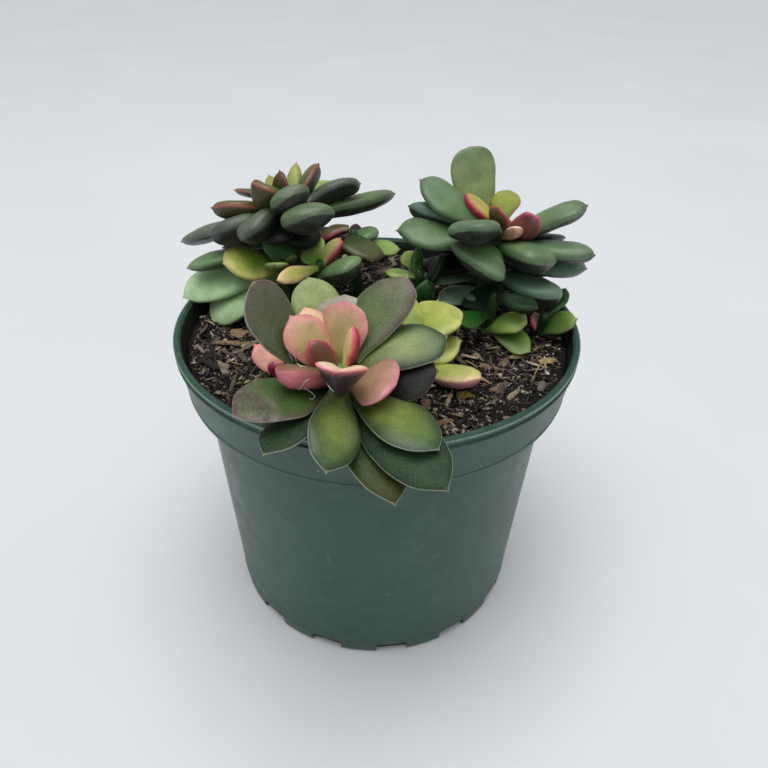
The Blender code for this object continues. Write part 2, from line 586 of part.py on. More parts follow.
# ---------------------------------------------------------------- leaves
def boxes_touch(a, b):
    """Whether two objects' bounding boxes meet."""
    def box(ob):
        p = [v.co for v in ob.data.vertices]
        return ([min(q[i] for q in p) for i in range(3)], [max(q[i] for q in p) for i in range(3)])
    (a0, a1), (b0, b1) = box(a), box(b)
    return all(a0[i] <= b1[i] and b0[i] <= a1[i] for i in range(3))


def surfaces_cross(a, b):
    """Whether two meshes cross, or one holds the other's first point."""
    from mathutils.bvhtree import BVHTree
    trees = []
    for ob in (a, b):
        bm = bmesh.new()
        bm.from_mesh(ob.data)
        bmesh.ops.triangulate(bm, faces=bm.faces)
        trees.append(BVHTree.FromBMesh(bm))
        bm.free()
    return bool(trees[0].overlap(trees[1]))


def trim(ob, extra=()):
    """Cut a piece where those before it have the right of way."""
    for other, cutters in list(finished) + [(None, [c]) for c in extra]:
        for cutter in cutters:
            if boxes_touch(ob, cutter) and surfaces_cross(ob, cutter):
                boolean(ob, [cutter], "DIFFERENCE")
                keep_largest(ob)


def add_leaf(plant, row, kind):
    name, height, out, azimuth = row[:4]
    foot, end = STEMS[plant]
    root = on_stem(foot, end, height, out, azimuth)
    shape = row[3:]
    ob = make_object(name, leaf_bmesh(root, *shape), kind)
    cutter = make_object(name + "_cutter", leaf_bmesh(root, *shape, grow=GAP), None, tools)
    trim(ob, [rim_ring])
    smooth(ob)
    finished.append((ob, [cutter]))
    return ob


def add_cluster(name, kind, foot, end, core, rows, pull=2.0, around=6):
    """Leaves grown together on a core (foot, end, radius), as one body."""
    c0, c1, radius, segments = core
    ob = make_object(name, rod_bmesh(c0, c1, radius, radius * 0.9, segments), kind)
    ahead = (Vector(c1) - Vector(c0)).normalized()
    cutters = [make_object(name + "_core_cutter",
                           rod_bmesh(Vector(c0) - ahead * GAP, Vector(c1) + ahead * GAP,
                                     radius + GAP + 0.08, radius * 0.9 + GAP + 0.08, segments), None, tools)]
    blades = []
    for i, row in enumerate(rows):
        height, out, azimuth, rise, length = row[:5]
        root = on_stem(foot, end, height, out, azimuth)
        a, e = math.radians(azimuth), math.radians(rise)
        ahead = Vector((math.cos(a) * math.cos(e), math.sin(a) * math.cos(e), math.sin(e)))
        root = root - ahead * pull
        shape = (azimuth, rise, length + pull) + tuple(row[5:])
        blades.append(make_object("%s_blade_%d" % (name, i), leaf_bmesh(root, *shape, around=around, along=around), None, tools))
        cutters.append(make_object("%s_cutter_%d" % (name, i),
                                   leaf_bmesh(root, *shape, grow=GAP, around=around, along=around), None, tools))
    for blade in blades:
        boolean(ob, [blade], "UNION")
    keep_largest(ob)
    trim(ob, [rim_ring])
    smooth(ob)
    finished.append((ob, cutters))
    return ob


graph = bpy.context.evaluated_depsgraph_get()
rim_ring = bpy.data.objects.new("rim_ring", bpy.data.meshes.new_from_object(rim_cutter.evaluated_get(graph)))
tools.objects.link(rim_ring)
rim_ring.hide_render = True
rim_ring.display_type = "WIRE"
bpy.data.objects.remove(rim_cutter, do_unlink=True)

for name, plant, low, high, radius, rows in HEARTS:
    foot, end = STEMS[plant]
    start = max(low - 1.5, HEART_FEET[plant])
    core = (on_stem(foot, end, start, 0, 0), on_stem(foot, end, high, 0, 0), radius, 10)
    add_cluster(name, "bright", foot, end, core, rows)

for name, plant, low, high, rows in WHORLS:
    foot, end = STEMS[plant]
    core = (on_stem(foot, end, low, 0, 0), on_stem(foot, end, high, 0, 0), STEM_CROWN_RADIUS, 10)
    add_cluster(name, "leaf", foot, end, core, rows, around=7)

for row in FRONT_LEAVES:
    kind = "pink" if "pink" in row[0] else "leaf"
    add_leaf("front", row, kind)
for row in LEFT_LEAVES:
    kind = "bright" if "bright" in row[0] else ("leaf" if "low" in row[0] or row[0].endswith("_right") else "deep")
    add_leaf("left", row, kind)
for row in RIGHT_LEAVES:
    add_leaf("right", row, "deep" if "low" in row[0] else "leaf")

for name, foot, end, rows in OFFSETS:
    ahead = (Vector(end) - Vector(foot)).normalized()
    tallest = max(row[0] for row in rows)
    core = (Vector(foot) - ahead * 3.0, Vector(foot) + ahead * (tallest + 0.6), OFFSET_STEM_RADIUS, 8)
    add_cluster(name, "bright" if "front" in name else "leaf", foot, end, core, rows)

# ---------------------------------------------------------------- soil holes
# The mix gives way to every stem and to the leaves that press into it.
for ob, cutters in finished:
    for cutter in cutters:
        if boxes_touch(soil, cutter) and surfaces_cross(soil, cutter):
            boolean(soil, [cutter], "DIFFERENCE")
            keep_largest(soil)
smooth(soil, 60)

for ob in list(tools.objects):
    bpy.data.objects.remove(ob, do_unlink=True)
bpy.context.view_layer.update()
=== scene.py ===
import json
import math

import bmesh
import bpy
import numpy as np
from mathutils import Matrix, Vector, noise
from mathutils.bvhtree import BVHTree


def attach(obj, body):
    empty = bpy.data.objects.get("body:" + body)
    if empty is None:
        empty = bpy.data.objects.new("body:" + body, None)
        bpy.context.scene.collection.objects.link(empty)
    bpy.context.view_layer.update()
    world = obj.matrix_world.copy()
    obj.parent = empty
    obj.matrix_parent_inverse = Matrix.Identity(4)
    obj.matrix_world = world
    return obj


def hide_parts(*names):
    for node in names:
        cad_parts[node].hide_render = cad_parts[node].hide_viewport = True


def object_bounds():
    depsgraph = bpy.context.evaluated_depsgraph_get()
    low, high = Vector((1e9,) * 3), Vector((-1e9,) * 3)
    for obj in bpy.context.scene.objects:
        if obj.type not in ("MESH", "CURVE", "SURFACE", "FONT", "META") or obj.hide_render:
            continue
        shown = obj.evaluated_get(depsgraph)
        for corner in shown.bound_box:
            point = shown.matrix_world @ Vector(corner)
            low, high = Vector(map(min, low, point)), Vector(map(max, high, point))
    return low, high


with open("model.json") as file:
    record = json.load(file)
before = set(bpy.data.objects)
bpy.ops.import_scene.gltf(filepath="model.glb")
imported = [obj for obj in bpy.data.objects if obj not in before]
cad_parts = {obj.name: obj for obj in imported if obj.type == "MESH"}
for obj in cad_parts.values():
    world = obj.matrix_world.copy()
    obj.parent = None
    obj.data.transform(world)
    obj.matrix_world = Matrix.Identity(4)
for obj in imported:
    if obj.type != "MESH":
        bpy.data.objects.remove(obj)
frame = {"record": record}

cad_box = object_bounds()
MM = 0.001
CAD_LOW, CAD_HIGH = (np.array(corner, float) / MM for corner in cad_box)


def linear(colour):
    """Display colour, 0 to 255 a channel, as the linear colour that shaders take."""
    out = []
    for v in colour:
        v = v / 255.0
        out.append(v / 12.92 if v <= 0.04045 else ((v + 0.055) / 1.055) ** 2.4)
    return np.array(out)


def smoothstep(lo, hi, x):
    t = np.clip((x - lo) / (hi - lo), 0.0, 1.0)
    return t * t * (3.0 - 2.0 * t)


# ------------------------------------------------------------------ camera
PHOTO = 768
FOCAL_PX = 700.0
ELEVATION, ROLL, DISTANCE = math.radians(35.26), math.radians(1.26), 203.0
TARGET = Vector((2.1, 0.0, 65.8))

back = Vector((0.0, -math.cos(ELEVATION), math.sin(ELEVATION)))
right0 = Vector((1.0, 0.0, 0.0))
up0 = right0.cross(-back)
right = right0 * math.cos(ROLL) + up0 * math.sin(ROLL)
up = -right0 * math.sin(ROLL) + up0 * math.cos(ROLL)
eye = TARGET + back * DISTANCE
cam_data = bpy.data.cameras.new("camera")
cam_data.sensor_width = 36.0
cam_data.lens = FOCAL_PX * 36.0 / PHOTO
cam_data.clip_start = 0.01
cam_data.clip_end = 50.0
camera = bpy.data.objects.new("camera", cam_data)
turn = Matrix((right, up, back)).transposed().to_4x4()
camera.matrix_world = Matrix.Translation(eye * MM) @ turn
bpy.context.scene.collection.objects.link(camera)
bpy.context.scene.camera = camera


# ------------------------------------------------------------------ node helpers
class Nodes:
    """Short hand for building a node tree."""

    def __init__(self, name):
        self.material = bpy.data.materials.new(name)
        self.material.use_nodes = True
        self.tree = self.material.node_tree
        self.shader = self.tree.nodes["Principled BSDF"]
        self.x = -300

    def node(self, kind, **settings):
        n = self.tree.nodes.new(kind)
        self.x -= 40
        n.location = (self.x, 0)
        for key, value in settings.items():
            setattr(n, key, value)
        return n

    def link(self, a, b):
        self.tree.links.new(a, b)

    def put(self, value, socket):
        if isinstance(value, bpy.types.NodeSocket):
            self.link(value, socket)
        elif isinstance(value, (tuple, list, np.ndarray)):
            value = [float(v) for v in value]
            if len(socket.default_value) == 4 and len(value) == 3:
                value = value + [1.0]
            socket.default_value = value
        else:
            socket.default_value = value

    def math(self, operation, a, b=None, c=None, clamp=False):
        n = self.node("ShaderNodeMath", operation=operation, use_clamp=clamp)
        self.put(a, n.inputs[0])
        if b is not None:
            self.put(b, n.inputs[1])
        if c is not None:
            self.put(c, n.inputs[2])
        return n.outputs[0]

    def mix(self, factor, a, b, blend="MIX"):
        n = self.node("ShaderNodeMix", data_type="RGBA", blend_type=blend)
        self.put(factor, n.inputs[0])
        self.put(a, n.inputs[6])
        self.put(b, n.inputs[7])
        return n.outputs[2]

    def span(self, value, lo, hi, to_lo=0.0, to_hi=1.0, smooth=True):
        n = self.node("ShaderNodeMapRange")
        if smooth:
            n.interpolation_type = "SMOOTHSTEP"
        self.put(value, n.inputs[0])
        for i, v in enumerate((lo, hi, to_lo, to_hi)):
            self.put(v, n.inputs[1 + i])
        return n.outputs[0]

    def attribute(self, name, output="Fac"):
        n = self.node("ShaderNodeAttribute", attribute_name=name)
        return n.outputs[output]

    def coords(self, scale=1000.0, stretch=(1, 1, 1)):
        """Object coordinates, in millimetres when the scale is 1000."""
        c = self.node("ShaderNodeTexCoord")
        m = self.node("ShaderNodeMapping")
        self.link(c.outputs["Object"], m.inputs["Vector"])
        m.inputs["Scale"].default_value = [scale * s for s in stretch]
        return m.outputs["Vector"]

    def noise(self, vector, scale, detail=3.0, rough=0.55, distortion=0.0):
        n = self.node("ShaderNodeTexNoise")
        self.link(vector, n.inputs["Vector"])
        n.inputs["Scale"].default_value = scale
        n.inputs["Detail"].default_value = detail
        n.inputs["Roughness"].default_value = rough
        n.inputs["Distortion"].default_value = distortion
        return n.outputs["Fac"]

    def voronoi(self, vector, scale, feature="F1", randomness=1.0):
        n = self.node("ShaderNodeTexVoronoi", feature=feature)
        self.link(vector, n.inputs["Vector"])
        n.inputs["Scale"].default_value = scale
        n.inputs["Randomness"].default_value = randomness
        return n.outputs["Distance"]

    def bump(self, height, strength, distance, normal=None):
        n = self.node("ShaderNodeBump")
        n.inputs["Strength"].default_value = strength
        n.inputs["Distance"].default_value = distance
        self.link(height, n.inputs["Height"])
        if normal is not None:
            self.link(normal, n.inputs["Normal"])
        return n.outputs["Normal"]

    def finish(self, colour=None, roughness=None, normal=None):
        if colour is not None:
            self.put(colour, self.shader.inputs["Base Color"])
        if roughness is not None:
            self.put(roughness, self.shader.inputs["Roughness"])
        if normal is not None:
            self.link(normal, self.shader.inputs["Normal"])
        return self.material


# ------------------------------------------------------------------ materials
def leaf_material(name, fleshy=0.08, gloss=0.38, shine=0.5, coat=0.08):
    """Leaf skin: colour fields from the leaf's own form, mottling, papillae,
    waxy bloom and the pale line along the margin."""
    n = Nodes(name)
    p = n.coords()
    top = n.attribute("tint_top", "Color")
    under = n.attribute("tint_under", "Color")
    face = n.attribute("face")
    edge = n.attribute("edge")
    speck = n.attribute("speck")
    bloom = n.attribute("bloom")
    line = n.attribute("line")
    shift = n.attribute("shift", "Vector")
    add = n.node("ShaderNodeVectorMath", operation="ADD")
    n.link(p, add.inputs[0])
    n.link(shift, add.inputs[1])
    q = add.outputs[0]

    broad = n.noise(q, 0.22, 3.0, 0.55, 0.4)
    cells = n.noise(q, 1.5, 4.0, 0.62)
    fine = n.noise(q, 4.2, 3.0, 0.65)
    dots = n.voronoi(q, 4.0)

    wobble = n.math("MULTIPLY", n.math("SUBTRACT", cells, 0.5), 0.16)
    side = n.span(n.math("ADD", face, wobble), -0.18, 0.12)
    colour = n.mix(side, under, top)

    # broad and fine mottling: lighter and darker patches of the same colour
    light = n.mix(1.0, colour, (1.45, 1.42, 1.30), "MULTIPLY")
    dark = n.mix(1.0, colour, (0.62, 0.66, 0.62), "MULTIPLY")
    patch = n.mix(n.span(broad, 0.30, 0.70), dark, light)
    colour = n.mix(0.38, colour, patch)
    speckled = n.mix(1.0, colour, (1.70, 1.66, 1.50), "MULTIPLY")
    pitted = n.mix(1.0, colour, (0.46, 0.50, 0.46), "MULTIPLY")
    grain = n.mix(n.span(fine, 0.36, 0.64), pitted, speckled)
    colour = n.mix(n.math("MULTIPLY", speck, 0.62), colour, grain)

    # pale papillae
    dot = n.span(dots, 0.10, 0.30, 1.0, 0.0)
    dot = n.math("MULTIPLY", dot, n.span(cells, 0.38, 0.58))
    dot = n.math("MULTIPLY", dot, n.math("MULTIPLY", speck, 0.78))
    colour = n.mix(dot, colour, n.mix(0.5, colour, (0.62, 0.64, 0.52)))

    # waxy bloom, rubbed off in patches
    wax = n.math("MULTIPLY", bloom, n.span(n.math("ADD", broad, n.math("MULTIPLY", fine, 0.35)), 0.42, 0.86))
    wax = n.math("MULTIPLY", wax, 0.35)
    colour = n.mix(wax, colour, (0.24, 0.30, 0.24))

    # translucent margin, seen as a thin pale line
    seam = n.math("MULTIPLY", n.span(edge, 0.08, 0.34, 1.0, 0.0), line)
    seam = n.math("MULTIPLY", seam, n.span(cells, 0.25, 0.55, 0.55, 1.0))
    colour = n.mix(seam, colour, n.mix(0.58, colour, (0.50, 0.54, 0.42)))

    rough = n.span(cells, 0.2, 0.8, gloss - 0.07, gloss + 0.12)
    rough = n.math("ADD", rough, n.math("MULTIPLY", wax, 0.25))
    height = n.math("ADD", n.math("MULTIPLY", fine, 0.5), n.math("MULTIPLY", dot, 0.5))
    normal = n.bump(height, 0.30, 0.00009)
    normal = n.bump(cells, 0.22, 0.00035, normal)
    n.shader.inputs["Subsurface Weight"].default_value = fleshy
    n.shader.inputs["Subsurface Radius"].default_value = (1.0, 0.72, 0.45)
    n.shader.inputs["Subsurface Scale"].default_value = 0.0011
    n.shader.inputs["Specular IOR Level"].default_value = shine
    n.shader.inputs["Coat Weight"].default_value = coat
    n.shader.inputs["Coat Roughness"].default_value = 0.22
    n.shader.inputs["Sheen Weight"].default_value = 0.03
    n.shader.inputs["Sheen Roughness"].default_value = 0.5
    return n.finish(colour, rough, normal)


def pot_material(height=88.0, slope=0.148, wall_line=39.85):
    """Green plastic. slope and wall_line, in mm, tell the band's inner wall from its outer one."""
    n = Nodes("pot_plastic")
    p = n.coords()
    around = n.coords(stretch=(0.25, 0.25, 2.6))
    large = n.noise(p, 0.035, 3.0, 0.5)
    cloud = n.noise(p, 0.16, 5.0, 0.6, 0.3)
    grain = n.noise(p, 2.4, 3.0, 0.6)
    flow = n.noise(around, 0.9, 4.0, 0.6)
    colour = n.mix(n.span(large, 0.3, 0.7), linear((31, 69, 55)), linear((41, 79, 65)))
    colour = n.mix(n.math("MULTIPLY", n.span(cloud, 0.45, 0.72), 0.30), colour, linear((86, 112, 100)))
    colour = n.mix(n.math("MULTIPLY", n.span(flow, 0.52, 0.75), 0.16), colour, linear((104, 128, 116)))
    # dust specks and small scuffs
    specks = n.voronoi(p, 0.30)
    speck = n.math("MULTIPLY", n.span(specks, 0.045, 0.11, 1.0, 0.0), n.span(cloud, 0.46, 0.60))
    colour = n.mix(n.math("MULTIPLY", speck, 0.6), colour, linear((150, 165, 150)))
    scuff_at = n.coords(stretch=(1.0, 0.6, 0.35))
    scuffs = n.noise(scuff_at, 0.55, 5.0, 0.7, 1.2)
    scuff = n.span(scuffs, 0.665, 0.70)
    colour = n.mix(n.math("MULTIPLY", scuff, 0.35), colour, linear((120, 142, 130)))
    # dust gathers towards the foot
    z = n.node("ShaderNodeSeparateXYZ")
    n.link(p, z.inputs[0])
    low = n.span(z.outputs[2], 0.0, 9.0, 1.0, 0.0)
    colour = n.mix(n.math("MULTIPLY", n.math("MULTIPLY", low, n.span(grain, 0.4, 0.7)), 0.25), colour, linear((120, 135, 128)))
    # painted highlight: a paler line along the lip's outer edge
    lip_highlight = n.math("MULTIPLY", n.span(z.outputs[2], height - 0.95, height - 0.70), n.span(z.outputs[2], height - 0.50, height - 0.25, 1.0, 0.0))
    lip_highlight = n.math("MULTIPLY", lip_highlight, n.span(grain, 0.25, 0.60, 0.25, 0.75))
    colour = n.mix(lip_highlight, colour, linear((140, 166, 152)))
    # painted shade: the inner wall below the lip is darkened where shade falls inside the pot, less so towards the lip
    radius = n.math("SQRT", n.math("ADD", n.math("MULTIPLY", z.outputs[0], z.outputs[0]), n.math("MULTIPLY", z.outputs[1], z.outputs[1])))
    inside = n.span(n.math("SUBTRACT", radius, n.math("MULTIPLY", z.outputs[2], slope)), wall_line - 0.15, wall_line + 0.2, 1.0, 0.0)
    inside = n.math("MULTIPLY", inside, n.span(z.outputs[2], height - 14.5, height - 13.5))
    inner_wall_shade = n.math("ADD", z.outputs[2], n.math("MULTIPLY", n.math("SUBTRACT", cloud, 0.5), 5.0))
    inner_wall_shade = n.math("MULTIPLY", n.span(inner_wall_shade, height - 3.2, height - 0.4, 0.93, 0.10), inside)
    colour = n.mix(inner_wall_shade, colour, n.mix(n.span(grain, 0.45, 0.65), linear((10, 12, 11)), linear((34, 34, 29))))
    # painted shade on the faces inside the foot's slots
    slot_shade = n.math("MULTIPLY", n.span(radius, 41.7, 41.95, 1.0, 0.0), n.span(z.outputs[2], 4.0, 5.0, 1.0, 0.0))
    colour = n.mix(slot_shade, colour, linear((12, 16, 15)))
    rough = n.span(cloud, 0.3, 0.75, 0.34, 0.48)
    rough = n.math("ADD", rough, n.math("MULTIPLY", scuff, 0.15))
    rough = n.math("ADD", rough, n.math("MULTIPLY", inner_wall_shade, 0.35))
    relief = n.math("ADD", n.math("MULTIPLY", grain, 0.25), n.math("MULTIPLY", flow, 0.8))
    normal = n.bump(relief, 0.16, 0.00012)
    normal = n.bump(cloud, 0.18, 0.0006, normal)
    n.shader.inputs["Specular IOR Level"].default_value = 0.52
    n.shader.inputs["Subsurface Weight"].default_value = 0.0
    return n.finish(colour, rough, normal)


def soil_material():
    n = Nodes("potting_mix")
    p = n.coords()
    a = n.noise(p, 0.9, 6.0, 0.7)
    b = n.noise(p, 3.2, 4.0, 0.7)
    cells = n.voronoi(p, 1.6)
    colour = n.mix(n.span(a, 0.30, 0.68), linear((6, 6, 6)), linear((27, 22, 20)))
    colour = n.mix(n.math("MULTIPLY", n.span(b, 0.55, 0.72), 0.5), colour, linear((96, 78, 62)))
    colour = n.mix(n.math("MULTIPLY", n.span(cells, 0.30, 0.05), 0.25), colour, linear((70, 54, 42)))
    height = n.math("ADD", a, n.math("MULTIPLY", b, 0.4))
    normal = n.bump(height, 0.9, 0.0008)
    n.shader.inputs["Specular IOR Level"].default_value = 0.3
    return n.finish(colour, n.span(b, 0.2, 0.8, 0.62, 0.95), normal)


def chip_material(name, gloss=0.75):
    """Bark, wood and mineral bits, mottled, with paler flecks."""
    n = Nodes(name)
    p = n.coords()
    tint = n.attribute("tint_top", "Color")
    a = n.noise(p, 1.3, 5.0, 0.65)
    b = n.noise(p, 5.0, 3.0, 0.7)
    colour = n.mix(n.span(a, 0.35, 0.7), n.mix(0.55, tint, (0.004, 0.003, 0.003)), tint)
    colour = n.mix(n.math("MULTIPLY", n.span(b, 0.5, 0.75), 0.30), colour, n.mix(0.5, tint, (0.75, 0.68, 0.55)))
    normal = n.bump(n.math("ADD", a, b), 0.6, 0.0002)
    n.shader.inputs["Specular IOR Level"].default_value = 0.4
    return n.finish(colour, n.span(b, 0.2, 0.8, gloss - 0.2, gloss + 0.1), normal)


def stem_material():
    n = Nodes("stem_bark")
    p = n.coords(stretch=(1.0, 1.0, 0.5))
    a = n.noise(p, 0.8, 5.0, 0.65)
    b = n.noise(p, 3.0, 3.0, 0.6)
    colour = n.mix(n.span(a, 0.35, 0.65), linear((88, 74, 50)), linear((118, 116, 74)))
    colour = n.mix(n.math("MULTIPLY", n.span(b, 0.5, 0.7), 0.5), colour, linear((60, 46, 34)))
    normal = n.bump(n.math("ADD", a, b), 0.6, 0.0004)
    return n.finish(colour, n.span(b, 0.2, 0.8, 0.6, 0.85), normal)


def fibre_material():
    n = Nodes("dry_fibre")
    p = n.coords()
    a = n.noise(p, 1.0, 3.0, 0.6)
    colour = n.mix(n.span(a, 0.3, 0.7), linear((200, 192, 176)), linear((238, 232, 218)))
    n.shader.inputs["Subsurface Weight"].default_value = 0.1
    n.shader.inputs["Subsurface Scale"].default_value = 0.0003
    return n.finish(colour, n.span(a, 0.2, 0.8, 0.5, 0.7), n.bump(a, 0.3, 0.00005))


LEAF = leaf_material("leaf_skin")
LEAF_YOUNG = leaf_material("young_leaf_skin", fleshy=0.16, gloss=0.38)
LEAF_DULL = leaf_material("dull_leaf_skin", fleshy=0.04, gloss=0.50, shine=0.26, coat=0.0)
POT = pot_material()
SOIL = soil_material()
CHIPS = chip_material("bark_and_wood", 0.80)
GRAINS = chip_material("mix_grains", 0.55)
STEM = stem_material()
FIBRE = fibre_material()

